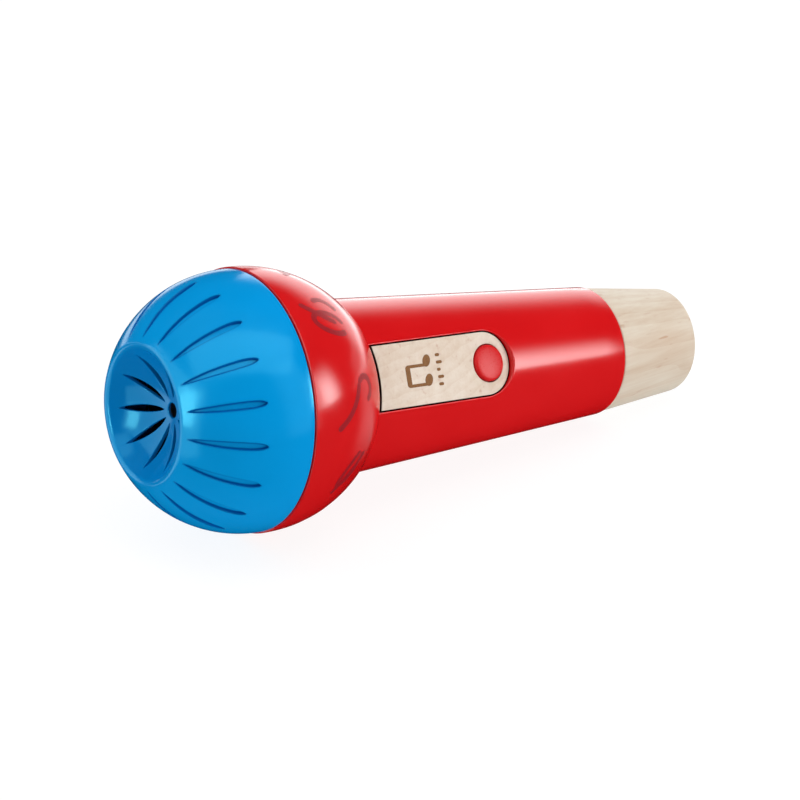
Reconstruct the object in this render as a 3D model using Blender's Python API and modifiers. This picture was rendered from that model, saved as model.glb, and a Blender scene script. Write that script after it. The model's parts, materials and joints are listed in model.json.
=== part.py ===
"""Toy echo microphone, lying on its side.

A battery-free echo microphone. A slotted blue grille closes a red bowl, the bowl is screwed
to a tapered red handle, and a turned maple plug closes the handle's tail. Inside the head a
horn carries a thin diaphragm, and a long coil spring joins the diaphragm to a screw eye in
the plug. A flat maple inlay lies in a pocket of the handle and surrounds a sprung button.

Every piece is modelled round one axis. Local Z is the station along that axis, counted from
the crest of the speaking dish towards the tail, and local X points out through the middle of
the inlay. The empty "axis" then lays the whole microphone down on its belly.
"""

import math

import bmesh
import bpy
from mathutils import Matrix, Vector

MM = 0.001

# Whole object
LENGTH = 199.5 * MM
HEAD_RADIUS = 39.5 * MM
GAP = 0.3 * MM
SEGMENTS = 48
INNER_SEGMENTS = 32
SMALL_SEGMENTS = 12
CUT_REACH = 3.0 * MM  # how far a cutter stands out of what it cuts
INLAY_ROLL = 26.25  # degrees from level up to the inlay, a whole number of facets

# Blue grille: a dome, a rounded crest and a concave speaking dish
JOINT_Z = 33.35 * MM
DOME_RADIUS = 39.05 * MM
DOME_LENGTH = 39.6 * MM
CREST_RADIUS = 20.5 * MM
CREST_ROUNDING = 2.0 * MM
CREST_ANGLE = 146.6
DISH_DEPTH = 10.3 * MM
GRILLE_WALL = 2.2 * MM
CENTRE_HOLE_RADIUS = 1.9 * MM
TONGUE_RADIUS = 36.8 * MM
TONGUE_WALL = 1.9 * MM
TONGUE_LENGTH = 4.2 * MM
TONGUE_ROOT_ANGLE = 97.0
CREST_BACK_MARGIN = 1.0
DISH_BACK_MARGIN = 2.0

# Slots through the dish and grooves in the dome
DISH_SLOTS = 10
DISH_SLOT_PHASE = 11.25
DISH_SLOT_INNER = 3.9 * MM
DISH_SLOT_OUTER = 17.5 * MM
DISH_SLOT_WIDTH = 2.0 * MM
DISH_SLOT_FULLNESS = 0.8
DISH_SLOT_SIDE_POINTS = 4
GROOVES = 18
GROOVE_PHASE = 4.25
GROOVE_START = 144.0
GROOVE_END = 110.5
GROOVE_WIDTH = 2.3 * MM
GROOVE_DEPTH = 1.0 * MM
GROOVE_STEPS = 6
GROOVE_FULLNESS = 0.6
GROOVE_TIP = 0.08
GROOVE_FLOOR = 0.6  # width of the floor over the width of the mouth

# Red bowl
EQUATOR_Z = 34.9 * MM
BOWL_LENGTH = 41.3 * MM
BOWL_WALL = 2.3 * MM
BOWL_REAR_Z = 62.5 * MM
BOWL_RING_Z = 55.3 * MM
BOWL_BORE = 27.3 * MM
BOWL_EDGE = 0.5 * MM

# Red handle
HANDLE_FRONT_Z = 52.8 * MM
HANDLE_FLANGE_REAR_Z = 55.0 * MM
HANDLE_FLANGE_RADIUS = 31.4 * MM
CONE_START_Z = 63.1 * MM
CONE_START_RADIUS = 26.93 * MM
CONE_END_Z = 165.6 * MM
CONE_END_RADIUS = 20.52 * MM
HANDLE_WALL = 2.5 * MM

# Maple plug
PLUG_START_Z = 165.9 * MM
PLUG_START_RADIUS = 20.1 * MM
PLUG_END_RADIUS = 16.6 * MM
PLUG_ROUNDING = 2.5 * MM
SPIGOT_FRONT_Z = 150.0 * MM
SPIGOT_RADIUS = 17.7 * MM
PILOT_RADIUS = 1.2 * MM
PILOT_END_Z = 164.0 * MM

# Inlay, its pocket and the button's well, measured from the inlay's top face
BUTTON_Z = 110.0 * MM
INLAY_DROP = 2.15 * MM
INLAY_HALF_WIDTH = 9.6 * MM
INLAY_END_OFFSET = -1.4 * MM
INLAY_FRONT_Z = 62.8 * MM
INLAY_THICKNESS = 2.4 * MM
POCKET_GAP = 0.45 * MM
POCKET_FLOOR = 1.6 * MM
POCKET_WALL = 1.8 * MM
BLOCK_TOP = -1.5 * MM
WELL_RADIUS = 7.1 * MM
WELL_WALL = 1.8 * MM
WELL_FLOOR_TOP = -8.5 * MM
WELL_FLOOR_BOTTOM = -10.0 * MM
GUIDE_RADIUS = 2.4 * MM

# Button and its return spring
BUTTON_RADIUS = 5.6 * MM
BUTTON_CROWN = 1.3 * MM
BUTTON_EDGE = 0.5 * MM
BUTTON_FLANGE_RADIUS = 6.7 * MM
BUTTON_FLANGE_THICKNESS = 1.0 * MM
BUTTON_SKIRT_BOTTOM = -7.0 * MM
BUTTON_SKIRT_WALL = 1.1 * MM
STEM_RADIUS = 2.0 * MM
STEM_BOTTOM = -9.5 * MM
RETURN_SPRING_RADIUS = 3.8 * MM
RETURN_SPRING_WIRE = 0.3 * MM
RETURN_SPRING_TURNS = 3.5

# Horn, diaphragm and clamp ring
DIAPHRAGM_Z = 24.0 * MM
DIAPHRAGM_THICKNESS = 0.5 * MM
DIAPHRAGM_RADIUS = 28.0 * MM
SEAT_THICKNESS = 2.8 * MM
SEAT_RADIUS = 31.8 * MM
HORN_MOUTH_RADIUS = 25.0 * MM
HORN_THROAT_RADIUS = 20.5 * MM
HORN_WALL = 2.0 * MM
FOOT_THICKNESS = 2.2 * MM
CLAMP_THICKNESS = 2.2 * MM

# Screws
SCREW_RADIUS = 0.95 * MM
SCREW_HEAD_RADIUS = 1.9 * MM
SCREW_HEAD_HEIGHT = 1.3 * MM
SCREW_END_SHARE = 0.6  # radius of the point and of the head's top over the full one
SCREW_HOLE_RADIUS = 1.25 * MM
SCREW_COUNT = 3
HEAD_SCREW_CIRCLE = 29.3 * MM
HEAD_SCREW_LENGTH = 9.0 * MM
HEAD_HOLE_END_Z = 60.0 * MM
HEAD_SCREW_PHASE = 0.0
CLAMP_SCREW_CIRCLE = 29.9 * MM
CLAMP_SCREW_LENGTH = 5.4 * MM
CLAMP_SCREW_PHASE = 60.0

# Echo spring and its two anchors
POST_HEAD_RADIUS = 4.0 * MM
POST_HEAD_THICKNESS = 1.1 * MM
POST_RADIUS = 1.9 * MM
POST_END_Z = 33.0 * MM
POST_HOLE_Z = 30.5 * MM
POST_HOLE_RADIUS = 0.8 * MM
NUT_RADIUS = 4.5 * MM
NUT_THICKNESS = 0.8 * MM
EYE_Z = 146.4 * MM
EYE_RADIUS = 2.6 * MM
EYE_WIRE = 0.8 * MM
EYE_SWEEP = 310.0
EYE_STEPS = 16
EYE_TIP_Z = 163.0 * MM
SPRING_RADIUS = 4.0 * MM
SPRING_WIRE = 0.4 * MM
SPRING_FRONT_Z = 35.0 * MM
SPRING_REAR_Z = 140.0 * MM
SPRING_TURNS = 15.25
SPRING_HOOK = 1.4 * MM
SPRING_TAIL = 3.2 * MM

# Values that follow from the ones above
DISH_RADIUS = (DISH_DEPTH**2 + CREST_RADIUS**2) / (2 * DISH_DEPTH) - CREST_ROUNDING
DISH_CENTRE_Z = DISH_DEPTH - DISH_RADIUS
DISH_ANGLE = math.degrees(math.asin(CREST_RADIUS / (DISH_RADIUS + CREST_ROUNDING)))
CONE_SLOPE = (CONE_START_RADIUS - CONE_END_RADIUS) / (CONE_END_Z - CONE_START_Z)
SEAT_Z = DIAPHRAGM_Z + DIAPHRAGM_THICKNESS + GAP
HORN_REAR_Z = HANDLE_FRONT_Z - GAP
CLAMP_FRONT_Z = DIAPHRAGM_Z - GAP - CLAMP_THICKNESS
POCKET_DEPTH = INLAY_THICKNESS + GAP
FLANGE_TOP = -POCKET_DEPTH


def cone_radius(z):
    """Outer radius of the handle's taper at a station."""
    return CONE_START_RADIUS - CONE_SLOPE * (z - CONE_START_Z)


def arc(centre_z, length, radius, start, end, count, centre_r=0.0):
    """Points (z, r) along an ellipse, its angle in degrees counted from +Z towards +r."""
    points = []
    for i in range(count + 1):
        angle = math.radians(start + (end - start) * i / count)
        points.append((centre_z + length * math.cos(angle), centre_r + radius * math.sin(angle)))
    return points


def angle_at(z, centre_z, length):
    """The ellipse angle at which a station is reached."""
    return math.degrees(math.acos((z - centre_z) / length))


# ---------------------------------------------------------------- scene helpers


def clear_scene():
    for obj in list(bpy.data.objects):
        bpy.data.objects.remove(obj, do_unlink=True)


def new_collection(name):
    collection = bpy.data.collections.new(name)
    bpy.context.scene.collection.children.link(collection)
    return collection


def principled(name, colour, roughness, metallic=0.0):
    material = bpy.data.materials.new(name)
    material.use_nodes = True
    shader = material.node_tree.nodes["Principled BSDF"]
    shader.inputs["Base Color"].default_value = (*colour, 1.0)
    shader.inputs["Roughness"].default_value = roughness
    shader.inputs["Metallic"].default_value = metallic
    material.diffuse_color = (*colour, 1.0)
    return material


class Bench:
    """Puts objects into the scene: parts under their parent, tools out of the render."""

    def __init__(self):
        self.parts = new_collection("toy_microphone")
        self.tools = new_collection("cutters")
        self.axis = bpy.data.objects.new("axis", None)
        self.parts.objects.link(self.axis)

    def part(self, name, data, material, parent=None):
        obj = bpy.data.objects.new(name, data)
        data.materials.append(material)
        self.parts.objects.link(obj)
        obj.parent = parent or self.axis
        return obj

    def tool(self, name, data, parent=None):
        obj = bpy.data.objects.new(name, data)
        self.tools.objects.link(obj)
        obj.parent = parent or self.axis
        obj.hide_render = True
        obj.display_type = "WIRE"
        return obj


def turn(obj, segments):
    """Turn an outline in the XZ plane once round Z."""
    screw = obj.modifiers.new("Turn", "SCREW")
    screw.axis = "Z"
    screw.steps = segments
    screw.render_steps = segments
    screw.use_merge_vertices = True
    screw.merge_threshold = 0.00001
    screw.use_smooth_shade = True


def outline_mesh(name, outline):
    """A mesh of one wire through points (z, r). It is a loop unless it starts on the axis."""
    mesh = bpy.data.meshes.new(name)
    count = len(outline)
    edges = [(i, i + 1) for i in range(count - 1)]
    if outline[0][1] > 0:
        edges.append((count - 1, 0))
    mesh.from_pydata([(r, 0.0, z) for z, r in outline], edges, [])
    return mesh


def prism_mesh(name, outlines, low, high):
    """Flat outlines in XY, each a list of (x, y), made solid between two heights."""
    bm = bmesh.new()
    for outline in outlines:
        face = bm.faces.new([bm.verts.new((x, y, low)) for x, y in outline])
        raised = bmesh.ops.extrude_face_region(bm, geom=[face])
        verts = [v for v in raised["geom"] if isinstance(v, bmesh.types.BMVert)]
        bmesh.ops.translate(bm, verts=verts, vec=(0, 0, high - low))
    bmesh.ops.recalc_face_normals(bm, faces=bm.faces)
    mesh = bpy.data.meshes.new(name)
    bm.to_mesh(mesh)
    bm.free()
    return mesh


def rod_mesh(name, radius, low, high, segments, centres=((0.0, 0.0),)):
    """Upright rods between two heights, one at each centre."""
    bm = bmesh.new()
    for x, y in centres:
        bmesh.ops.create_cone(
            bm,
            cap_ends=True,
            segments=segments,
            radius1=radius,
            radius2=radius,
            depth=high - low,
            matrix=Matrix.Translation((x, y, (low + high) / 2)),
        )
    mesh = bpy.data.meshes.new(name)
    bm.to_mesh(mesh)
    bm.free()
    return mesh


def wire_curve(name, points, radius):
    """A round wire with closed ends through the points."""
    curve = bpy.data.curves.new(name, "CURVE")
    curve.dimensions = "3D"
    curve.bevel_depth = radius
    curve.bevel_resolution = 2
    curve.use_fill_caps = True
    spline = curve.splines.new("POLY")
    spline.points.add(len(points) - 1)
    for place, point in zip(spline.points, points):
        place.co = (*point, 1.0)
    return curve


def combine(obj, tool, operation):
    boolean = obj.modifiers.new(tool.name, "BOOLEAN")
    boolean.operation = operation
    boolean.object = tool


def circle_of(count, radius, phase):
    """Centres evenly spaced on a circle, the phase in degrees."""
    angles = [math.radians(phase + 360 * i / count) for i in range(count)]
    return [(radius * math.cos(a), radius * math.sin(a)) for a in angles]


# ---------------------------------------------------------------- head


def grille_outline():
    joint = angle_at(JOINT_Z - BOWL_EDGE / 2, JOINT_Z, DOME_LENGTH)
    hole = math.degrees(math.asin(CENTRE_HOLE_RADIUS / DISH_RADIUS))
    back_radius = DISH_RADIUS + GRILLE_WALL
    back_hole = math.degrees(math.asin(CENTRE_HOLE_RADIUS / back_radius))
    inner_length = DOME_LENGTH - GRILLE_WALL
    inner_radius = DOME_RADIUS - GRILLE_WALL
    tongue_rear = JOINT_Z + TONGUE_LENGTH
    tongue_inner = TONGUE_RADIUS - TONGUE_WALL
    points = [(tongue_rear, TONGUE_RADIUS), (JOINT_Z, TONGUE_RADIUS)]
    points.append((JOINT_Z, DOME_RADIUS - BOWL_EDGE / 2))
    points += arc(JOINT_Z, DOME_LENGTH, DOME_RADIUS, joint, CREST_ANGLE, 9)
    crest_end = 180 + DISH_ANGLE
    crest = arc(
        CREST_ROUNDING, CREST_ROUNDING, CREST_ROUNDING, CREST_ANGLE, crest_end, 4, CREST_RADIUS
    )
    points += crest[1:]
    points += arc(DISH_CENTRE_Z, DISH_RADIUS, DISH_RADIUS, DISH_ANGLE, hole, 6)[1:]
    points += arc(DISH_CENTRE_Z, back_radius, back_radius, back_hole, DISH_ANGLE - DISH_BACK_MARGIN, 5)
    back_start = CREST_ANGLE - CREST_BACK_MARGIN
    points += arc(JOINT_Z, inner_length, inner_radius, back_start, TONGUE_ROOT_ANGLE, 6)
    points += [(JOINT_Z - GRILLE_WALL, tongue_inner), (tongue_rear, tongue_inner)]
    return points


def dish_slot_outlines():
    """Plan view of the slots: slim lenses that point at the centre hole."""
    side = DISH_SLOT_SIDE_POINTS
    outlines = []
    for k in range(DISH_SLOTS):
        turn_by = math.radians(DISH_SLOT_PHASE + 360 * k / DISH_SLOTS)
        lens = []
        for i in range(2 * side):
            share = i / side if i <= side else 2 - i / side
            half = DISH_SLOT_WIDTH / 2 * math.sin(math.pi * share) ** DISH_SLOT_FULLNESS
            along = DISH_SLOT_INNER + (DISH_SLOT_OUTER - DISH_SLOT_INNER) * share
            across = half if i <= side else -half
            lens.append(
                (
                    along * math.cos(turn_by) - across * math.sin(turn_by),
                    along * math.sin(turn_by) + across * math.cos(turn_by),
                )
            )
        outlines.append(lens)
    return outlines


def groove_rings():
    """Cross sections of one groove at azimuth 0, from the crest towards the joint."""
    rings = []
    for i in range(GROOVE_STEPS + 1):
        share = i / GROOVE_STEPS
        angle = math.radians(GROOVE_START + (GROOVE_END - GROOVE_START) * share)
        swell = max(math.sin(math.pi * share), GROOVE_TIP) ** GROOVE_FULLNESS
        top = Vector((DOME_RADIUS * math.sin(angle), 0, JOINT_Z + DOME_LENGTH * math.cos(angle)))
        normal = Vector((math.sin(angle), 0, math.cos(angle)))
        side = Vector((0, GROOVE_WIDTH / 2 * swell, 0))
        above = top + normal * GROOVE_DEPTH
        below = top - normal * GROOVE_DEPTH * swell
        floor = side * GROOVE_FLOOR
        rings.append([above + side, above - side, below - floor, below + floor])
    return rings


def groove_mesh():
    bm = bmesh.new()
    for k in range(GROOVES):
        spin = Matrix.Rotation(math.radians(GROOVE_PHASE + 360 * k / GROOVES), 3, "Z")
        rings = [[bm.verts.new(spin @ point) for point in ring] for ring in groove_rings()]
        bm.faces.new(rings[0])
        bm.faces.new(rings[-1])
        for near, far in zip(rings, rings[1:]):
            for i in range(4):
                j = (i + 1) % 4
                bm.faces.new((near[i], near[j], far[j], far[i]))
    bmesh.ops.recalc_face_normals(bm, faces=bm.faces)
    mesh = bpy.data.meshes.new("groove_cutter")
    bm.to_mesh(mesh)
    bm.free()
    return mesh


def make_grille(bench, material):
    grille = bench.part("grille_shell", outline_mesh("grille_shell", grille_outline()), material)
    turn(grille, SEGMENTS)
    through = prism_mesh("dish_slot_cutter", dish_slot_outlines(), 0.0, DISH_DEPTH + CUT_REACH)
    combine(grille, bench.tool("dish_slot_cutter", through), "DIFFERENCE")
    combine(grille, bench.tool("groove_cutter", groove_mesh()), "DIFFERENCE")


def bowl_outline():
    mouth_z = JOINT_Z + GAP
    socket_z = JOINT_Z + TONGUE_LENGTH + GAP
    inner_radius = HEAD_RADIUS - BOWL_WALL
    inner_length = BOWL_LENGTH - BOWL_WALL
    rear = angle_at(BOWL_REAR_Z - BOWL_EDGE, EQUATOR_Z, BOWL_LENGTH)
    front = angle_at(mouth_z + BOWL_EDGE, EQUATOR_Z, BOWL_LENGTH)
    rear_radius = HEAD_RADIUS * math.sin(math.radians(rear))
    inner_front = angle_at(socket_z, EQUATOR_Z, inner_length)
    inner_rear = angle_at(BOWL_RING_Z, EQUATOR_Z, inner_length)
    points = [(BOWL_REAR_Z, BOWL_BORE), (BOWL_REAR_Z, rear_radius - BOWL_EDGE)]
    points += arc(EQUATOR_Z, BOWL_LENGTH, HEAD_RADIUS, rear, front, 8)
    points += [(mouth_z, HEAD_RADIUS - BOWL_EDGE), (mouth_z, inner_radius)]
    points += arc(EQUATOR_Z, inner_length, inner_radius, inner_front, inner_rear, 5)
    points.append((BOWL_RING_Z, BOWL_BORE))
    return points


def make_bowl(bench, material, screw_holes):
    bowl = bench.part("head_bowl", outline_mesh("head_bowl", bowl_outline()), material)
    turn(bowl, SEGMENTS)
    combine(bowl, screw_holes, "DIFFERENCE")


def horn_outline():
    seat_rear = SEAT_Z + SEAT_THICKNESS
    foot_front = HORN_REAR_Z - FOOT_THICKNESS
    return [
        (HORN_REAR_Z, HORN_THROAT_RADIUS),
        (HORN_REAR_Z, HANDLE_FLANGE_RADIUS),
        (foot_front, HANDLE_FLANGE_RADIUS),
        (foot_front, HORN_THROAT_RADIUS + HORN_WALL),
        (seat_rear, HORN_MOUTH_RADIUS + HORN_WALL),
        (seat_rear, SEAT_RADIUS),
        (SEAT_Z, SEAT_RADIUS),
        (SEAT_Z, HORN_MOUTH_RADIUS),
    ]


def make_horn(bench, material, head_holes, clamp_holes):
    horn = bench.part("horn", outline_mesh("horn", horn_outline()), material)
    turn(horn, INNER_SEGMENTS)
    combine(horn, head_holes, "DIFFERENCE")
    combine(horn, clamp_holes, "DIFFERENCE")


def ring_outline(front_z, thickness, inner, outer):
    rear_z = front_z + thickness
    return [(rear_z, inner), (rear_z, outer), (front_z, outer), (front_z, inner)]


def make_diaphragm(bench, film, plastic, clamp_holes):
    hole = POST_RADIUS + GAP
    outline = ring_outline(DIAPHRAGM_Z, DIAPHRAGM_THICKNESS, hole, DIAPHRAGM_RADIUS)
    diaphragm = bench.part("diaphragm", outline_mesh("diaphragm", outline), film)
    turn(diaphragm, INNER_SEGMENTS)
    outline = ring_outline(CLAMP_FRONT_Z, CLAMP_THICKNESS, HORN_MOUTH_RADIUS, SEAT_RADIUS)
    clamp = bench.part("clamp_ring", outline_mesh("clamp_ring", outline), plastic)
    turn(clamp, INNER_SEGMENTS)
    combine(clamp, clamp_holes, "DIFFERENCE")


# ---------------------------------------------------------------- screws


def screw_outline(length):
    """A pan head screw whose head bears at height 0 and whose shank runs along +Z."""
    return [
        (length, 0.0),
        (length, SCREW_RADIUS * SCREW_END_SHARE),
        (length - SCREW_RADIUS, SCREW_RADIUS),
        (0.0, SCREW_RADIUS),
        (0.0, SCREW_HEAD_RADIUS),
        (-SCREW_HEAD_HEIGHT / 2, SCREW_HEAD_RADIUS),
        (-SCREW_HEAD_HEIGHT, SCREW_HEAD_RADIUS * SCREW_END_SHARE),
        (-SCREW_HEAD_HEIGHT, 0.0),
    ]


def make_screws(bench, name, material, length, circle, phase, bearing_z):
    mesh = outline_mesh(name, screw_outline(length))
    mesh.materials.append(material)
    for i, (x, y) in enumerate(circle_of(SCREW_COUNT, circle, phase)):
        screw = bpy.data.objects.new(f"{name}_{i + 1}", mesh)
        bench.parts.objects.link(screw)
        screw.parent = bench.axis
        screw.location = (x, y, bearing_z)
        turn(screw, SMALL_SEGMENTS)


# ---------------------------------------------------------------- handle


def handle_outline():
    neck_inner = CONE_START_RADIUS - HANDLE_WALL
    return [
        (CONE_END_Z, CONE_END_RADIUS - HANDLE_WALL),
        (CONE_END_Z, CONE_END_RADIUS - BOWL_EDGE),
        (CONE_END_Z - BOWL_EDGE, cone_radius(CONE_END_Z - BOWL_EDGE)),
        (CONE_START_Z, CONE_START_RADIUS),
        (HANDLE_FLANGE_REAR_Z, CONE_START_RADIUS),
        (HANDLE_FLANGE_REAR_Z, HANDLE_FLANGE_RADIUS),
        (HANDLE_FRONT_Z, HANDLE_FLANGE_RADIUS),
        (HANDLE_FRONT_Z, neck_inner),
        (CONE_START_Z, neck_inner),
    ]


def make_inlay_frame(bench):
    """An empty on the inlay's top face at the button: its Z is the face's outward normal."""
    slope = math.atan(CONE_SLOPE)
    frame = bpy.data.objects.new("inlay_frame", None)
    bench.parts.objects.link(frame)
    frame.parent = bench.axis
    along = Vector((-math.sin(slope), 0, math.cos(slope)))
    outward = Vector((math.cos(slope), 0, math.sin(slope)))
    across = outward.cross(along)
    turned = Matrix((along, across, outward)).transposed().to_4x4()
    place = Vector((cone_radius(BUTTON_Z) - INLAY_DROP, 0, BUTTON_Z))
    frame.matrix_local = Matrix.Translation(place) @ turned
    return frame


def inlay_outline(grow, front_grow):
    """The inlay's plan: square at the front and round at the tail."""
    half = INLAY_HALF_WIDTH + grow
    front = (INLAY_FRONT_Z - BUTTON_Z) / math.cos(math.atan(CONE_SLOPE)) - front_grow
    end = arc(INLAY_END_OFFSET, half, half, -90, 90, 14)
    return [(front, -half)] + end + [(front, half)]


def make_handle(bench, material, frame, screw_holes):
    handle = bench.part("handle_tube", outline_mesh("handle_tube", handle_outline()), material)
    turn(handle, SEGMENTS)
    floor_bottom = -POCKET_DEPTH - POCKET_FLOOR
    block = prism_mesh(
        "pocket_block",
        [inlay_outline(POCKET_GAP + POCKET_WALL, -POCKET_WALL)],
        floor_bottom,
        BLOCK_TOP,
    )
    well = rod_mesh(
        "well_block", WELL_RADIUS + WELL_WALL, WELL_FLOOR_BOTTOM, -POCKET_DEPTH, INNER_SEGMENTS
    )
    pocket = prism_mesh(
        "pocket_cutter", [inlay_outline(POCKET_GAP, POCKET_GAP)], -POCKET_DEPTH, CUT_REACH
    )
    bore = rod_mesh("well_cutter", WELL_RADIUS, WELL_FLOOR_TOP, CUT_REACH, INNER_SEGMENTS)
    guide_low = WELL_FLOOR_BOTTOM - CUT_REACH
    guide = rod_mesh("guide_cutter", GUIDE_RADIUS, guide_low, 0.0, SMALL_SEGMENTS)
    combine(handle, bench.tool("pocket_block", block, frame), "UNION")
    combine(handle, bench.tool("well_block", well, frame), "UNION")
    combine(handle, bench.tool("pocket_cutter", pocket, frame), "DIFFERENCE")
    combine(handle, bench.tool("well_cutter", bore, frame), "DIFFERENCE")
    combine(handle, bench.tool("guide_cutter", guide, frame), "DIFFERENCE")
    combine(handle, screw_holes, "DIFFERENCE")


def make_inlay(bench, material, frame):
    mesh = prism_mesh("wood_inlay", [inlay_outline(0, 0)], -INLAY_THICKNESS, 0.0)
    inlay = bench.part("wood_inlay", mesh, material, frame)
    low = -INLAY_THICKNESS - CUT_REACH
    hole = rod_mesh(
        "button_hole_cutter", BUTTON_RADIUS + GAP, low, CUT_REACH, INNER_SEGMENTS
    )
    combine(inlay, bench.tool("button_hole_cutter", hole, frame), "DIFFERENCE")


def button_outline():
    """Domed cap, retaining flange, skirt that stops the stroke, and guide stem."""
    flange_bottom = FLANGE_TOP - BUTTON_FLANGE_THICKNESS
    rise = BUTTON_CROWN - BUTTON_EDGE
    top = []
    for i in range(5):
        radius = (BUTTON_RADIUS - BUTTON_EDGE / 2) * i / 4
        top.append((BUTTON_EDGE + rise * (1 - (radius / BUTTON_RADIUS) ** 2), radius))
    skirt_inner = BUTTON_FLANGE_RADIUS - BUTTON_SKIRT_WALL
    return top + [
        (BUTTON_EDGE / 2, BUTTON_RADIUS),
        (FLANGE_TOP, BUTTON_RADIUS),
        (FLANGE_TOP, BUTTON_FLANGE_RADIUS),
        (BUTTON_SKIRT_BOTTOM, BUTTON_FLANGE_RADIUS),
        (BUTTON_SKIRT_BOTTOM, skirt_inner),
        (flange_bottom, skirt_inner),
        (flange_bottom, STEM_RADIUS),
        (STEM_BOTTOM, STEM_RADIUS),
        (STEM_BOTTOM, 0.0),
    ]


def make_button(bench, plastic, steel, frame):
    button = bench.part("button", outline_mesh("button", button_outline()), plastic, frame)
    turn(button, INNER_SEGMENTS)
    low = WELL_FLOOR_TOP + GAP + RETURN_SPRING_WIRE
    high = FLANGE_TOP - BUTTON_FLANGE_THICKNESS - GAP - RETURN_SPRING_WIRE
    points = helix(RETURN_SPRING_RADIUS, low, high, RETURN_SPRING_TURNS, 10)
    curve = wire_curve("button_spring", points, RETURN_SPRING_WIRE)
    bench.part("button_spring", curve, steel, frame)


def helix(radius, low, high, turns, per_turn):
    count = round(turns * per_turn)
    points = []
    for i in range(count + 1):
        angle = math.tau * turns * i / count
        height = low + (high - low) * i / count
        points.append((radius * math.cos(angle), radius * math.sin(angle), height))
    return points


# ---------------------------------------------------------------- echo spring


def bend(across, low, high):
    """Quarter turn from running across at one height to running along at another."""
    points = []
    for i in range(5):
        angle = math.radians(90 * i / 4)
        points.append((across - SPRING_HOOK * (1 - math.sin(angle)), low + high * (1 - math.cos(angle))))
    return points


def make_spring(bench, steel):
    """A coil whose two ends cross the axis, one in the post and one in the eye."""
    front = [(-SPRING_TAIL, 0.0, POST_HOLE_Z)]
    front += [(r, 0.0, z) for r, z in bend(SPRING_RADIUS, POST_HOLE_Z, SPRING_HOOK)]
    coil = helix(SPRING_RADIUS, SPRING_FRONT_Z, SPRING_REAR_Z, SPRING_TURNS, 8)
    rear = [(0.0, r, z) for r, z in reversed(bend(SPRING_RADIUS, EYE_Z, -SPRING_HOOK))]
    rear.append((0.0, -SPRING_TAIL, EYE_Z))
    bench.part("echo_spring", wire_curve("echo_spring", front + coil + rear, SPRING_WIRE), steel)


def make_anchors(bench, plastic, steel):
    head_z = DIAPHRAGM_Z - GAP
    front = head_z - POST_HEAD_THICKNESS
    outline = [
        (POST_END_Z, 0.0),
        (POST_END_Z, POST_RADIUS - BOWL_EDGE),
        (POST_END_Z - BOWL_EDGE, POST_RADIUS),
        (head_z, POST_RADIUS),
        (head_z, POST_HEAD_RADIUS),
        (front + BOWL_EDGE, POST_HEAD_RADIUS),
        (front, POST_HEAD_RADIUS - BOWL_EDGE),
        (front, 0.0),
    ]
    post = bench.part("spring_post", outline_mesh("spring_post", outline), plastic)
    turn(post, SMALL_SEGMENTS * 2)
    reach = 2 * POST_RADIUS
    hole = bench.tool(
        "post_hole_cutter", rod_mesh("post_hole", POST_HOLE_RADIUS, -reach, reach, SMALL_SEGMENTS)
    )
    hole.location = (0, 0, POST_HOLE_Z)
    hole.rotation_euler = (0, math.radians(90), 0)
    combine(post, hole, "DIFFERENCE")
    nut_z = DIAPHRAGM_Z + DIAPHRAGM_THICKNESS + GAP
    outline = ring_outline(nut_z, NUT_THICKNESS, POST_RADIUS + GAP, NUT_RADIUS)
    nut = bench.part("push_nut", outline_mesh("push_nut", outline), steel)
    turn(nut, SMALL_SEGMENTS * 2)
    loop = [(0.0, 0.0, EYE_TIP_Z)]
    for i in range(EYE_STEPS + 1):
        angle = math.radians(EYE_SWEEP * i / EYE_STEPS)
        loop.append((EYE_RADIUS * math.sin(angle), 0.0, EYE_Z + EYE_RADIUS * math.cos(angle)))
    bench.part("screw_eye", wire_curve("screw_eye", loop, EYE_WIRE), steel)


# ---------------------------------------------------------------- plug


def plug_outline():
    end_z = LENGTH - PLUG_ROUNDING
    end_r = PLUG_END_RADIUS - PLUG_ROUNDING
    rounding = arc(end_z, PLUG_ROUNDING, PLUG_ROUNDING, 0, 90, 4, end_r)
    return [
        (LENGTH, 0.0),
        *rounding,
        (PLUG_START_Z + BOWL_EDGE, PLUG_START_RADIUS),
        (PLUG_START_Z, PLUG_START_RADIUS - BOWL_EDGE),
        (PLUG_START_Z, SPIGOT_RADIUS),
        (SPIGOT_FRONT_Z, SPIGOT_RADIUS - BOWL_EDGE),
        (SPIGOT_FRONT_Z, PILOT_RADIUS),
        (PILOT_END_Z, PILOT_RADIUS),
        (PILOT_END_Z + PILOT_RADIUS, 0.0),
    ]


def make_plug(bench, material):
    plug = bench.part("end_plug", outline_mesh("end_plug", plug_outline()), material)
    turn(plug, SEGMENTS)


# ---------------------------------------------------------------- assembly


def resting_tilt():
    """The slope at which the bowl's belly and the plug's end edge touch one surface."""
    flat = math.cos(math.pi / SEGMENTS)
    span = LENGTH - PLUG_ROUNDING - EQUATOR_Z
    edge = (PLUG_END_RADIUS - PLUG_ROUNDING) * flat
    tilt = 0.0
    for _ in range(20):
        belly = math.hypot(BOWL_LENGTH * math.sin(tilt), HEAD_RADIUS * flat * math.cos(tilt))
        tilt = math.asin((belly - edge * math.cos(tilt) - PLUG_ROUNDING * flat) / span)
    return tilt


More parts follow.
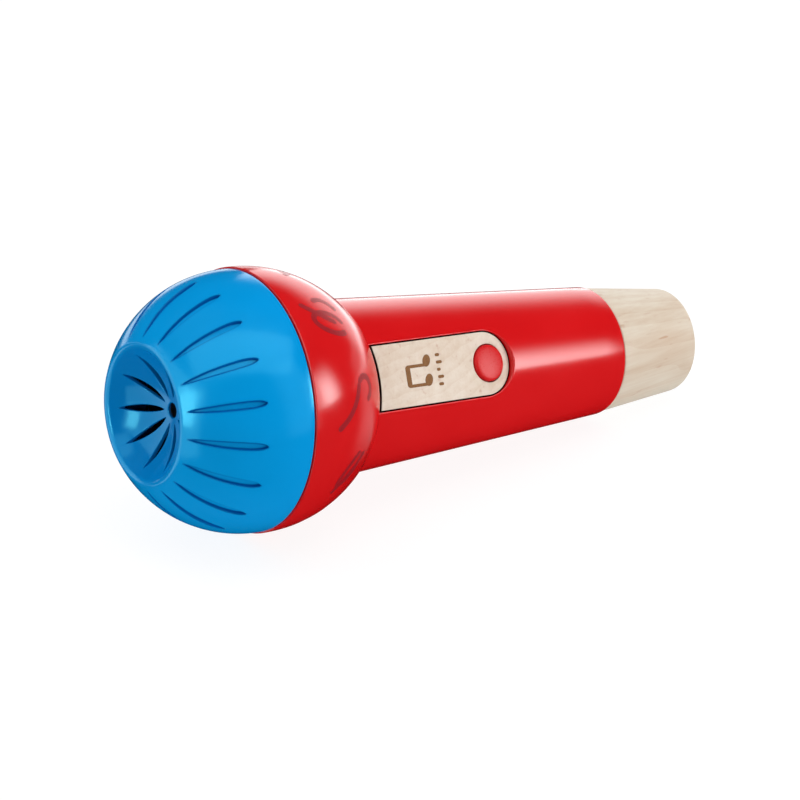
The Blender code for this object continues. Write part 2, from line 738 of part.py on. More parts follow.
def lay_down(bench):
    """Turn the axis level, tail to +X, then bring the box's bottom centre to the origin."""
    axis = bench.axis
    axis.rotation_mode = "ZYX"
    axis.rotation_euler = (0, math.radians(90) + resting_tilt(), -math.radians(90 + INLAY_ROLL))
    bpy.context.view_layer.update()
    graph = bpy.context.evaluated_depsgraph_get()
    low = Vector((math.inf,) * 3)
    high = -low
    for obj in bench.parts.objects:
        if obj.type == "EMPTY":
            continue
        evaluated = obj.evaluated_get(graph)
        for vertex in evaluated.to_mesh().vertices:
            place = evaluated.matrix_world @ vertex.co
            low = Vector(map(min, low, place))
            high = Vector(map(max, high, place))
        evaluated.to_mesh_clear()
    axis.location = (-(low.x + high.x) / 2, -(low.y + high.y) / 2, -low.z)


def main():
    clear_scene()
    bench = Bench()
    blue = principled("blue_abs", (0.0, 0.25, 0.63), 0.28)
    red = principled("red_abs", (0.70, 0.006, 0.009), 0.2)
    charcoal = principled("charcoal_abs", (0.030, 0.031, 0.034), 0.45)
    film = principled("film", (0.10, 0.10, 0.11), 0.4)
    maple = principled("maple", (0.75, 0.63, 0.50), 0.55)
    steel = principled("steel", (0.60, 0.60, 0.62), 0.3, 1.0)

    head_holes = bench.tool(
        "head_screw_hole_cutter",
        rod_mesh(
            "head_screw_hole_cutter",
            SCREW_HOLE_RADIUS,
            HORN_REAR_Z - 2 * FOOT_THICKNESS,
            HEAD_HOLE_END_Z,
            SMALL_SEGMENTS,
            circle_of(SCREW_COUNT, HEAD_SCREW_CIRCLE, HEAD_SCREW_PHASE),
        ),
    )
    clamp_holes = bench.tool(
        "clamp_screw_hole_cutter",
        rod_mesh(
            "clamp_screw_hole_cutter",
            SCREW_HOLE_RADIUS,
            CLAMP_FRONT_Z - CLAMP_THICKNESS,
            SEAT_Z + 2 * SEAT_THICKNESS,
            SMALL_SEGMENTS,
            circle_of(SCREW_COUNT, CLAMP_SCREW_CIRCLE, CLAMP_SCREW_PHASE),
        ),
    )
    make_grille(bench, blue)
    make_bowl(bench, red, head_holes)
    make_horn(bench, charcoal, head_holes, clamp_holes)
    make_diaphragm(bench, film, charcoal, clamp_holes)
    head_bearing = HORN_REAR_Z - FOOT_THICKNESS - GAP
    make_screws(
        bench,
        "head_screw",
        steel,
        HEAD_SCREW_LENGTH,
        HEAD_SCREW_CIRCLE,
        HEAD_SCREW_PHASE,
        head_bearing,
    )
    make_screws(
        bench,
        "clamp_screw",
        steel,
        CLAMP_SCREW_LENGTH,
        CLAMP_SCREW_CIRCLE,
        CLAMP_SCREW_PHASE,
        CLAMP_FRONT_Z - GAP,
    )
    frame = make_inlay_frame(bench)
    make_handle(bench, red, frame, head_holes)
    make_inlay(bench, maple, frame)
    make_button(bench, red, steel, frame)
    make_anchors(bench, charcoal, steel)
    make_spring(bench, steel)
    make_plug(bench, maple)
    lay_down(bench)


main()
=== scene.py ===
"""Looks for a toy echo microphone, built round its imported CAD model.

Every piece is modelled round the microphone's own axis. Local Z is the station along that axis,
counted from the crest of the speaking dish towards the tail, and local X points out through the
middle of the inlay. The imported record's tail mount and button joint say how that axis lies.
Outlines are (z, r) points. Angles named here are in degrees, and those on the head's ellipses
are counted from the tail.
"""

import json
import math

import bpy
import numpy as np
from mathutils import Matrix, Vector


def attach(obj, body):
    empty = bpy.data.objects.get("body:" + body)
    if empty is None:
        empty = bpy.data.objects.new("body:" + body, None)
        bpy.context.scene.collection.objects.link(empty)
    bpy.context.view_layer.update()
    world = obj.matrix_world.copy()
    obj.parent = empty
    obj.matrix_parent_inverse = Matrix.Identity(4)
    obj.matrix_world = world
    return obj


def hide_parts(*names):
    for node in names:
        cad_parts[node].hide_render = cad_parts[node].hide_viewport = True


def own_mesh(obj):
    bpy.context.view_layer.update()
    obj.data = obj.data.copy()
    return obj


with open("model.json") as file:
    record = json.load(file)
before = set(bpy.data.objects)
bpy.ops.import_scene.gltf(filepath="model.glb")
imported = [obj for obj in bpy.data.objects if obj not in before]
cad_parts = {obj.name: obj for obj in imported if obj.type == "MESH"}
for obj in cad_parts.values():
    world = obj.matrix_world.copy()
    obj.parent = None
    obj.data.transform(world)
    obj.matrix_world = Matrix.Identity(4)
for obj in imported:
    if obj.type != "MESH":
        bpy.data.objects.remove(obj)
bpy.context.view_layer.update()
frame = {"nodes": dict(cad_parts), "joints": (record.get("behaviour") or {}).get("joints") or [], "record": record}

MM = 0.001
TAU = math.tau

# Whole object, as in the CAD
LENGTH = 199.5 * MM
HEAD_RADIUS = 39.5 * MM
GAP = 0.3 * MM
SEGMENTS = 288
SHARP_ANGLE = 38.0

# Blue grille: tongue, dome, crest and concave speaking dish
JOINT_Z = 33.35 * MM
DOME_RADIUS = 39.05 * MM
DOME_LENGTH = 39.6 * MM
CREST_RADIUS = 20.5 * MM
CREST_ROUNDING = 2.0 * MM
CREST_ANGLE = 146.6
DISH_DEPTH = 10.3 * MM
DISH_RADIUS = (DISH_DEPTH**2 + CREST_RADIUS**2) / (2 * DISH_DEPTH) - CREST_ROUNDING
DISH_CENTRE_Z = DISH_DEPTH - DISH_RADIUS
DISH_EDGE_RADIUS = CREST_RADIUS * DISH_RADIUS / (DISH_RADIUS + CREST_ROUNDING)
GRILLE_WALL = 2.2 * MM
CENTRE_HOLE_RADIUS = 2.2 * MM
CENTRE_HOLE_LIP = 0.45 * MM
CENTRE_HOLE_FLARE = 0.7 * MM
TONGUE_RADIUS = 36.8 * MM
TONGUE_WALL = 1.9 * MM
TONGUE_LENGTH = 4.2 * MM
DOME_EDGE = 0.2 * MM
DISH_WALL = 1.5 * MM
DISH_PAINTED_SHADE = 0.4  # how much painted shade darkens the dish's colour

# Slots through the dish
DISH_SLOTS = 10
DISH_SLOT_PHASE = 11.25
DISH_SLOT_INNER = 3.9 * MM
DISH_SLOT_OUTER = 17.5 * MM
DISH_SLOT_WIDTH = 2.0 * MM
DISH_SLOT_FULLNESS = 0.7
DISH_SLOT_LIP = 0.35 * MM
DISH_SLOT_TIP = 0.012  # share of the length at which the slot's end is cut off square
DISH_SLOT_EASE = 1.2 * MM  # distance past a slot's end over which the columns even out
DISH_SLOT_FLARE = 0.45 * MM  # how much further back the slot opens on each side at the inner face

# Grooves in the dome
GROOVES = 18
GROOVE_PHASE = 4.25
GROOVE_START = 144.6
GROOVE_END = 110.5
GROOVE_WIDTH = 2.5 * MM
GROOVE_DEPTH = 1.0 * MM
GROOVE_WALL = 0.36 * MM
GROOVE_SHADOW = 0.5 * MM  # width of the painted shadow along the groove's wall
GROOVE_EASE = 3.0 * MM  # distance past a groove's end over which the columns even out
GROOVE_WIDEST = 0.74  # share of the length at which the groove is widest
GROOVE_COLUMNS = (0, 0.12, 0.23, 0.34, 0.45, 0.55, 0.65, 0.74, 0.83, 0.92, 1)
FIELD_COLUMNS = (0.04, 0.14, 0.36, 0.66, 1)  # shares of the way on to the next groove's field
COLUMN_STEP = 180 / GROOVES / (len(GROOVE_COLUMNS) - 1 + len(FIELD_COLUMNS))
HALF_SLOT_SECTOR = round(180 / DISH_SLOTS / COLUMN_STEP)  # columns in half a slot's sector

# Red bowl
EQUATOR_Z = 34.9 * MM
BOWL_LENGTH = 41.3 * MM
BOWL_WALL = 2.3 * MM
BOWL_REAR_Z = 64.7 * MM
BOWL_RING_Z = 55.3 * MM
BOWL_BORE = 27.1 * MM
BOWL_LIP_INNER_Z = 62.4 * MM
BOWL_REAR_ROUNDING = 0.12 * MM
BOWL_FRONT_ROUNDING = 0.3 * MM
BOWL_MOUTH_GAP = 0.4 * MM

# Red handle
HANDLE_FRONT_Z = 52.8 * MM
HANDLE_FLANGE_REAR_Z = 55.0 * MM
HANDLE_FLANGE_RADIUS = 31.4 * MM
CONE_START_Z = 63.1 * MM
CONE_START_RADIUS = 26.93 * MM
CONE_END_Z = 165.6 * MM
CONE_END_RADIUS = 20.52 * MM
CONE_SLOPE = (CONE_START_RADIUS - CONE_END_RADIUS) / (CONE_END_Z - CONE_START_Z)
HANDLE_WALL = 2.5 * MM
HANDLE_PLAIN_NECK = 1.5 * MM  # length of neck with no rows of its own, in front of the pocket
HANDLE_EDGE = 0.6 * MM

# Maple plug
PLUG_START_Z = 165.9 * MM
PLUG_START_RADIUS = 20.1 * MM
PLUG_END_RADIUS = 16.6 * MM
PLUG_ROUNDING = 2.5 * MM
PLUG_EDGE = 0.35 * MM
PLUG_SEGMENTS = 192
SPIGOT_FRONT_Z = 150.0 * MM
SPIGOT_RADIUS = 17.7 * MM
PILOT_RADIUS = 1.2 * MM
PILOT_END_Z = 164.0 * MM

# Inlay, its pocket and the button's well, heights counted from the inlay's top face
BUTTON_Z = 110.0 * MM
INLAY_DROP = 2.15 * MM
INLAY_HALF_WIDTH = 9.6 * MM
INLAY_END_OFFSET = -1.4 * MM
INLAY_FRONT_GAP = 0.5 * MM
INLAY_THICKNESS = 2.4 * MM
INLAY_EDGE = 0.15 * MM
POCKET_FRONT_Z = 62.35 * MM
POCKET_GAP = 0.45 * MM
POCKET_DEPTH = 2.7 * MM
POCKET_FLOOR = 1.6 * MM
POCKET_WALL = 1.8 * MM
POCKET_LIP = 0.35 * MM
POCKET_FADE = 9.0 * MM  # distance behind the pocket at which the rows are straight again
JOINT_SHADOW_TOP = 0.06 * MM  # depth at which the painted shade in the joint begins
WELL_RADIUS = 7.1 * MM
WELL_WALL = 1.8 * MM
WELL_FLOOR_TOP = -8.5 * MM
WELL_FLOOR_BOTTOM = -10.0 * MM
GUIDE_RADIUS = 2.4 * MM

# Button
BUTTON_RADIUS = 5.6 * MM
BUTTON_HEIGHT = 1.2 * MM
BUTTON_ROUNDING = 0.9 * MM
BUTTON_CROWN = 0.35 * MM
BUTTON_EDGE = 0.2 * MM
BUTTON_SEGMENTS = 128
BUTTON_FLANGE_RADIUS = 6.7 * MM
BUTTON_FLANGE_THICKNESS = 1.0 * MM
BUTTON_SKIRT_BOTTOM = -7.0 * MM
BUTTON_SKIRT_WALL = 1.1 * MM
STEM_RADIUS = 2.0 * MM
STEM_BOTTOM = -9.5 * MM
RETURN_SPRING_RADIUS = 3.8 * MM
RETURN_SPRING_WIRE = 0.3 * MM
RETURN_SPRING_TURNS = 3.5
RETURN_SPRING_STEPS = 32  # in a turn
RETURN_SPRING_SIDES = 10

# Prints
PRINT_WIDTH = 1.8  # millimetres, as all the strokes are
PRINT_THICKNESS = 0.03 * MM
MARK_WIDTH = 0.95
BEAM_WIDTH = 1.8
MARK_THICKNESS = 0.02 * MM
MARK_Z = 84.0 * MM
STROKE_TIP = 0.02  # share of a stroke's width left at its very end
STROKE_STEP = 0.008 * MM  # how much thicker each stroke of a print is than the last

# Floor, and the camera aimed at a point on the object
FLOOR_HALF = 3.0
FLOOR_Z = -0.3 * MM
CAMERA_AIM = Vector((-3.79, 4.25, 21.23)) * MM
CAMERA_DISTANCE = 920 * MM
CAMERA_AZIMUTH = -35.80
CAMERA_ELEVATION = 25.24
CAMERA_ROLL = -0.14
CAMERA_LENS = 134.23


# ---------------------------------------------------------------- places


def cone_radius(z):
    """Outer radius of the handle at a station: a neck, then a taper."""
    return CONE_START_RADIUS - CONE_SLOPE * np.maximum(z - CONE_START_Z, 0)


def axis_matrix():
    """The microphone's axis in the row frame, from the tail mount and the button's joint."""
    mount = next(m for m in frame["record"]["mounts"] if m["name"] == "tail_face")
    joint = next(j for j in frame["joints"] if j["name"] == "button_press")
    along = Vector(mount["axis"]).normalized()
    outward = -Vector(joint["axis"])
    outward = (outward - along * outward.dot(along)).normalized()
    side = along.cross(outward)
    matrix = Matrix((outward, side, along)).transposed().to_4x4()
    matrix.translation = Vector(mount["pos_m"]) - along * LENGTH
    return matrix


SLOPE = math.atan(CONE_SLOPE)
INLAY_X = float(cone_radius(BUTTON_Z)) - INLAY_DROP
INLAY_ALONG = Vector((-math.sin(SLOPE), 0, math.cos(SLOPE)))
INLAY_OUT = Vector((math.cos(SLOPE), 0, math.sin(SLOPE)))
INLAY_ORIGIN = (INLAY_X, 0, BUTTON_Z)


def inlay_matrix():
    """The inlay's top face at the button, in the microphone's axis frame: its Z points out."""
    across = INLAY_OUT.cross(INLAY_ALONG)
    matrix = Matrix((INLAY_ALONG, across, INLAY_OUT)).transposed().to_4x4()
    matrix.translation = INLAY_ORIGIN
    return matrix


AXIS = axis_matrix()
INLAY = AXIS @ inlay_matrix()


# ---------------------------------------------------------------- outlines


def arc(centre_z, length, radius, start, end, count, centre_r=0.0):
    """Points (z, r) along an ellipse, its angle in degrees counted from +Z towards +r."""
    angle = np.radians(np.linspace(start, end, count + 1))
    return [(centre_z + length * math.cos(a), centre_r + radius * math.sin(a)) for a in angle]


def angle_at(z, centre_z, length):
    """The ellipse angle at which a station is reached."""
    return math.degrees(math.acos((z - centre_z) / length))


def rounded(corners, steps=6):
    """The outline through corners (z, r, rounding), each corner made a tangent arc."""
    points = []
    count = len(corners)
    for i, (z, r, rounding) in enumerate(corners):
        if rounding == 0:
            points.append((z, r))
            continue
        here = Vector((z, r))
        before = (Vector(corners[i - 1][:2]) - here).normalized()
        after = (Vector(corners[(i + 1) % count][:2]) - here).normalized()
        half = before.angle(after) / 2
        centre = here + (before + after).normalized() * (rounding / math.sin(half))
        first = here + before * (rounding / math.tan(half)) - centre
        last = here + after * (rounding / math.tan(half)) - centre
        start = math.atan2(first.y, first.x)
        sweep = (math.atan2(last.y, last.x) - start + math.pi) % TAU - math.pi
        for step in range(steps + 1):
            angle = start + sweep * step / steps
            points.append(
                (centre.x + rounding * math.cos(angle), centre.y + rounding * math.sin(angle))
            )
    return points


def plain(points):
    """Outline points as corners with no rounding."""
    return [(z, r, 0) for z, r in points]


def quarter(steps):
    """(1 - cos, 1 - sin) at even steps of a quarter turn, for a rounded edge."""
    angle = np.radians(np.linspace(0, 90, steps + 1))
    return list(zip(1 - np.cos(angle), 1 - np.sin(angle)))


def cylindrical(r, angle, z):
    """Points from radius, angle in radians and station."""
    return np.stack(np.broadcast_arrays(r * np.cos(angle), r * np.sin(angle), z), axis=-1)


def smooth(x):
    """An even step from 0 to 1 over the same range of x."""
    x = np.clip(x, 0, 1)
    return x * x * (3 - 2 * x)


# ---------------------------------------------------------------- meshes


def mesh_of(name, points, faces, tint=None):
    """A smooth mesh of blocks of faces, turned outwards and without unused points. The tint is
    a number at each point, for the material to read as painted shade."""
    used = np.unique(np.concatenate([block.ravel() for block in faces]))
    place = np.zeros(len(points), int)
    place[used] = np.arange(len(used))
    points = np.asarray(points)[used]
    faces = [place[block] for block in faces]
    volume = 0.0
    for block in faces:
        corners = points[block]
        for i in range(1, block.shape[1] - 1):
            normal = np.cross(corners[:, i], corners[:, i + 1])
            volume += (corners[:, 0] * normal).sum()
    if volume < 0:
        faces = [block[:, ::-1] for block in faces]
    mesh = bpy.data.meshes.new(name)
    mesh.from_pydata(points.tolist(), [], [face for block in faces for face in block.tolist()])
    mesh.shade_smooth()
    mesh.set_sharp_from_angle(angle=math.radians(SHARP_ANGLE))
    if tint is not None:
        mesh.attributes.new("tint", "FLOAT", "POINT").data.foreach_set("value", tint[used])
    return mesh


def ring_quads(index, around=True):
    """Quads between neighbouring rows of a grid of point numbers, closed round its columns."""
    following = np.roll(index, -1, axis=1) if around else index[:, 1:]
    index = index if around else index[:, :-1]
    return np.stack([index[:-1], index[1:], following[1:], following[:-1]], axis=-1)


def turned(name, outline, segments=SEGMENTS):
    """An outline turned once round Z. It is a loop unless it starts and ends on the axis."""
    z, r = np.array(outline).T
    angle = np.arange(segments) * TAU / segments
    points = cylindrical(r[:, None], angle, z[:, None]).reshape(-1, 3)
    index = np.arange(len(points)).reshape(len(z), segments)
    if r[0] > 0:
        index = np.vstack([index, index[:1]])
        return mesh_of(name, points, [ring_quads(index).reshape(-1, 4)])
    tip, end = np.full(segments, index[0, 0]), np.full(segments, index[-1, 0])
    first = np.stack([tip, index[1], np.roll(index[1], -1)], axis=-1)
    last = np.stack([index[-2], end, np.roll(index[-2], -1)], axis=-1)
    return mesh_of(name, points, [ring_quads(index[1:-1]).reshape(-1, 4), first, last])


def shell(name, outer, inner, quads, tint=None):
    """A closed piece between two skins of one topology, walled wherever the skins end."""
    edges = np.concatenate([quads[:, [i, (i + 1) % 4]] for i in range(4)])
    ends = np.sort(edges, axis=1)
    _, first, uses = np.unique(ends, axis=0, return_index=True, return_counts=True)
    start, end = edges[first[uses == 1]].T
    count = len(outer)
    walls = np.stack([end, start, start + count, end + count], axis=1)
    if tint is not None:
        tint = np.concatenate([tint, np.zeros(count)])
    faces = [quads, quads[:, ::-1] + count, walls]
    return mesh_of(name, np.concatenate([outer, inner]), faces, tint=tint)


def linked(name, data):
    """A new object in the scene."""
    obj = bpy.data.objects.new(name, data)
    bpy.context.scene.collection.objects.link(obj)
    return obj


def piece(name, mesh, material, slot, body="microphone", matrix=AXIS, stands_for=()):
    """Puts a mesh in its place, riding on a CAD body and standing for CAD nodes."""
    mesh.transform(matrix)
    mesh.materials.append(material)
    obj = linked(name, mesh)
    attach(obj, body)
    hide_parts(*stands_for)
    return obj


# ---------------------------------------------------------------- grille


def groove_half_width(share):
    """Half width along a groove: a slimmer front end, and a rear end that is nearly round."""
    front = np.sin(np.pi / 2 * np.clip(share / GROOVE_WIDEST, 0, 1)) ** 0.55
    rear = (1 - np.clip((share - GROOVE_WIDEST) / (1 - GROOVE_WIDEST), 0, 1) ** 2.6) ** 0.5
    return GROOVE_WIDTH / 2 * np.where(share < GROOVE_WIDEST, front, rear)


def slot_half_width(share):
    """Half width along a dish slot, a slim lens."""
    return DISH_SLOT_WIDTH / 2 * np.sin(np.pi * np.clip(share, 0, 1)) ** DISH_SLOT_FULLNESS


def outline_slope(half_width, share, length):
    """How fast the half width changes along the length."""
    step = 0.004
    ahead, behind = np.clip(share + step, 0, 1), np.clip(share - step, 0, 1)
    return (half_width(ahead) - half_width(behind)) / ((ahead - behind) * length)


class GrilleRows:
    """The stations of the grille's skin, from the tongue's rear edge to the centre hole."""

    def __init__(self):
        self.rows = []
        self.tongue()
        self.dome()
        self.crest()
        self.dish()
        self.centre_hole()
        columns = (np.array(column, float) for column in zip(*self.rows))
        self.outer, self.inner, self.normal, self.groove, self.slot, self.turn = columns

    def add(self, outer, inner, normal, groove=np.nan, slot=np.nan, turn=0.0):
        """A row's (z, r) outside and inside and its normal, the share of the way along a groove
        and a slot, and how far the columns have turned from the grooves to the slots."""
        self.rows.append((outer, inner, normal, groove, slot, turn))

    def tongue(self):
        rear = JOINT_Z + TONGUE_LENGTH
        inner = TONGUE_RADIUS - TONGUE_WALL
        for z, r in ((rear, TONGUE_RADIUS - DOME_EDGE), (rear - DOME_EDGE, TONGUE_RADIUS)):
            self.add((z, r), (z, inner), (0, 1))
        self.add((JOINT_Z, TONGUE_RADIUS), (JOINT_Z, inner), (0, 1))

    def dome(self):
        inner_length, inner_radius = DOME_LENGTH - GRILLE_WALL, DOME_RADIUS - GRILLE_WALL
        start = angle_at(JOINT_Z - DOME_EDGE, JOINT_Z, DOME_LENGTH)
        for back, down in quarter(4)[:-1]:
            outer = (JOINT_Z - DOME_EDGE * back, DOME_RADIUS - DOME_EDGE * down)
            self.add(outer, (JOINT_Z - GRILLE_WALL, inner_radius), (0, 1))
        before = np.linspace(start, GROOVE_END - 0.4, 14)
        share = (1 - np.cos(np.linspace(0, np.pi, 61))) / 2
        along = GROOVE_END + (GROOVE_START - GROOVE_END) * share
        after = [GROOVE_START + 0.5, GROOVE_START + 1.2]
        for angle in np.concatenate([before, along, after]):
            a = math.radians(angle)
            outer = (JOINT_Z + DOME_LENGTH * math.cos(a), DOME_RADIUS * math.sin(a))
            inner = (JOINT_Z + inner_length * math.cos(a), inner_radius * math.sin(a))
            groove = (GROOVE_START - angle) / (GROOVE_START - GROOVE_END)
            self.add(outer, inner, (math.cos(a), math.sin(a)), groove=groove)

    def crest(self):
        """Round from the dome into the dish, with a straight inner face."""
        end = 180 + math.degrees(math.asin(CREST_RADIUS / (DISH_RADIUS + CREST_ROUNDING)))
        steps = 18
        length, radius = DOME_LENGTH - GRILLE_WALL, DOME_RADIUS - GRILLE_WALL
        before = np.array(arc(JOINT_Z, length, radius, CREST_ANGLE, CREST_ANGLE, 0)[0])
        after = np.array(self.dish_back(DISH_EDGE_RADIUS))
        outline = arc(
            CREST_ROUNDING, CREST_ROUNDING, CREST_ROUNDING, CREST_ANGLE, end, steps, CREST_RADIUS
        )
        for step, outer in enumerate(outline):
            share = step / steps
            angle = math.radians(CREST_ANGLE + (end - CREST_ANGLE) * share)
            inner = before + (after - before) * share
            self.add(outer, inner, (math.cos(angle), math.sin(angle)), turn=share)

    @staticmethod
    def dish_back(r):
        """The dish's inner face, where the centre hole opens wider."""
        web = DISH_SLOT_INNER - CENTRE_HOLE_RADIUS - CENTRE_HOLE_LIP
        r += CENTRE_HOLE_FLARE * float(smooth((DISH_SLOT_INNER - r) / web))
        return DISH_CENTRE_Z + math.sqrt((DISH_RADIUS + DISH_WALL) ** 2 - r**2), r

    def dish(self):
        share = (1 - np.cos(np.linspace(0, np.pi, 49))) / 2
        share = DISH_SLOT_TIP + (1 - 2 * DISH_SLOT_TIP) * share
        slots = DISH_SLOT_OUTER + (DISH_SLOT_INNER - DISH_SLOT_OUTER) * share
        before = np.linspace(DISH_EDGE_RADIUS, slots[0], 6)[1:-1]
        after = np.linspace(slots[-1], CENTRE_HOLE_RADIUS + CENTRE_HOLE_LIP, 5)[1:]
        for r in np.concatenate([before, slots, after]):
            z = DISH_CENTRE_Z + math.sqrt(DISH_RADIUS**2 - r**2)
            normal = (-(z - DISH_CENTRE_Z) / DISH_RADIUS, -r / DISH_RADIUS)
            slot = (r - DISH_SLOT_INNER) / (DISH_SLOT_OUTER - DISH_SLOT_INNER)
            self.add((z, r), self.dish_back(r), normal, slot=slot, turn=1.0)

    def centre_hole(self):
        z, r = self.rows[-1][0]
        for back, left in quarter(5)[1:]:
            radius = r - CENTRE_HOLE_LIP * (1 - left)
            outer = (z + CENTRE_HOLE_LIP * back, radius)
            self.add(outer, self.dish_back(radius), (-1, 0), turn=1.0)


def sectors(half_angles, count, phase):
    """(angle, offset from the sector's middle) of the columns all round, from a half sector's."""
    signed = np.concatenate([-half_angles[:, :0:-1], half_angles[:, :-1]], axis=1)
    centres = phase + 360 / count * np.arange(count)
    angles = (centres[None, :, None] + signed[:, None, :]).reshape(len(signed), -1)
    return angles, np.tile(signed, (1, count))


def outline_columns(place, length, widths, radius, reach, count, phase):
    """Columns that follow an outline along its length and even out within a reach of its ends.
    Also says how closely each row follows it."""
    past = np.nan_to_num(np.maximum(place - 1, -place), nan=1.0) * length
    follow = (1 - smooth(past / reach))[:, None]
    even = np.arange(widths.shape[1]) * COLUMN_STEP
    angles, offset = sectors(
        np.degrees(widths / radius) * follow + even * (1 - follow), count, phase
    )
    return angles, offset, follow


def past_outline(half_width, share, length, offset, radius):
    """Each column's distance outside the outline, square to it."""
    across = np.abs(np.radians(offset)) * radius
    slope = outline_slope(half_width, share, length)
    return (across - half_width(share)[:, None]) / np.sqrt(1 + slope**2)[:, None]


def groove_columns(rows, radius):
    """The dome's column angles, with the depth of the grooves and the painted shadow along their walls."""
    share = np.clip(np.nan_to_num(rows.groove, nan=0.0), 0.0015, 0.9985)
    length = math.radians(GROOVE_START - GROOVE_END) * (DOME_LENGTH + DOME_RADIUS) / 2
    half_width = groove_half_width(share)[:, None]
    border = radius * math.radians(180 / GROOVES)
    inside = half_width * np.array(GROOVE_COLUMNS)
    beyond = half_width + (border - half_width) * np.array(FIELD_COLUMNS)
    widths = np.concatenate([inside, beyond], axis=1)
    angles, offset, _ = outline_columns(
        rows.groove, length, widths, radius, GROOVE_EASE, GROOVES, GROOVE_PHASE
    )
    inset = -past_outline(groove_half_width, share, length, offset, radius)
    deepening = (smooth(share / 0.1) * (0.5 + 0.5 * share))[:, None]
    cut = smooth(inset / GROOVE_WALL) * GROOVE_DEPTH * deepening
    # Painted shadow: a band of darker colour just inside the groove's outline.
    painted_shadow = np.clip(1 - np.abs(inset - GROOVE_SHADOW / 2) / GROOVE_SHADOW, 0, 1)
    ungrooved = np.isnan(rows.groove) | (rows.groove < 0) | (rows.groove > 1)
    cut[ungrooved] = 0
    painted_shadow[ungrooved] = 0
    return angles, cut, painted_shadow


def slot_columns(rows, radius):
    """The dish's column angles, with the drop of the slots' lips and how far they flare behind."""
    share = np.clip(np.nan_to_num(rows.slot, nan=1.0), DISH_SLOT_TIP, 1 - DISH_SLOT_TIP)
    length = DISH_SLOT_OUTER - DISH_SLOT_INNER
    half_width = slot_half_width(share)[:, None]
    border = radius * math.radians(180 / DISH_SLOTS)
    swell = np.sin(np.pi * share)[:, None] ** 0.5
    lip = DISH_SLOT_LIP * swell
    hole = half_width * np.array([0, 0.5, 1])
    lips = half_width + lip * np.array([back for back, _ in quarter(6)[1:]])
    left = HALF_SLOT_SECTOR + 1 - hole.shape[1] - lips.shape[1]
    rest = lips[:, -1:] + (border - lips[:, -1:]) * np.arange(1, left + 1) / left
    widths = np.concatenate([hole, lips, rest], axis=1)
    angles, offset, follow = outline_columns(
        rows.slot, length, widths, radius, DISH_SLOT_EASE, DISH_SLOTS, DISH_SLOT_PHASE
    )
    fade = np.clip(1 - np.abs(offset) * DISH_SLOTS / 180, 0, 1)
    flare = np.degrees(DISH_SLOT_FLARE * swell / radius) * np.sign(offset) * fade * follow
    away = past_outline(slot_half_width, share, length, offset, radius)
    drop = lip * (1 - np.sqrt(1 - (1 - np.clip(away / lip, 0, 1)) ** 2))
    drop[np.isnan(rows.slot) | (rows.slot < 0) | (rows.slot > 1)] = 0
    return angles, drop, flare


def make_grille(material):
    rows = GrilleRows()
    radius, turn = rows.outer[:, 1:], rows.turn[:, None]
    dome_angles, cut, painted_shadow = groove_columns(rows, radius)
    dish_grids = slot_columns(rows, radius)

    # The dish's columns start a few steps before the dome's, so the count is turned to match.
    lead = (GROOVE_PHASE - 180 / GROOVES) - (DISH_SLOT_PHASE - 180 / DISH_SLOTS)
    lead = round(lead / COLUMN_STEP)
    dish_angles, drop, flare = (np.roll(grid, -lead, axis=1) for grid in dish_grids)
    dish_angles[:, -lead:] += 360
    angles = np.radians(dome_angles * (1 - turn) + dish_angles * turn)
    inner_angles = angles + np.radians(flare) * (turn == 1)

    outer_z, outer_r = (
        rows.outer[:, i : i + 1] - rows.normal[:, i : i + 1] * (cut + drop) for i in (0, 1)
    )
    skins = [
        cylindrical(outer_r, angles, outer_z).reshape(-1, 3),
        cylindrical(rows.inner[:, 1:], inner_angles, rows.inner[:, :1]).reshape(-1, 3),
    ]
    quads = ring_quads(np.arange(angles.size).reshape(angles.shape))
    offset = (np.arange(angles.shape[1]) + lead) % (2 * HALF_SLOT_SECTOR) - HALF_SLOT_SECTOR
    in_slot = (rows.slot >= DISH_SLOT_TIP - 1e-6) & (rows.slot <= 1 - DISH_SLOT_TIP + 1e-6)
    open_rows = in_slot[:-1] & in_slot[1:]
    open_columns = (offset >= -2) & (offset <= 1)
    kept = ~(open_rows[:, None] & open_columns[None, :])
    # Painted shade: a darker colour along the grooves' walls and over the whole dish.
    tint = np.maximum(painted_shadow, DISH_PAINTED_SHADE * turn).ravel()
    mesh = shell("grille", *skins, quads[kept], tint=tint)
    return piece("grille", mesh, material, "blue_abs", stands_for=["grille_shell"])


# ---------------------------------------------------------------- bowl


def bowl_point(angle, lift=0.0):
    """(z, r) on the bowl's outside at an ellipse angle in radians."""
    return (
        EQUATOR_Z + (BOWL_LENGTH + lift) * np.cos(angle),
        (HEAD_RADIUS + lift) * np.sin(angle),
    )


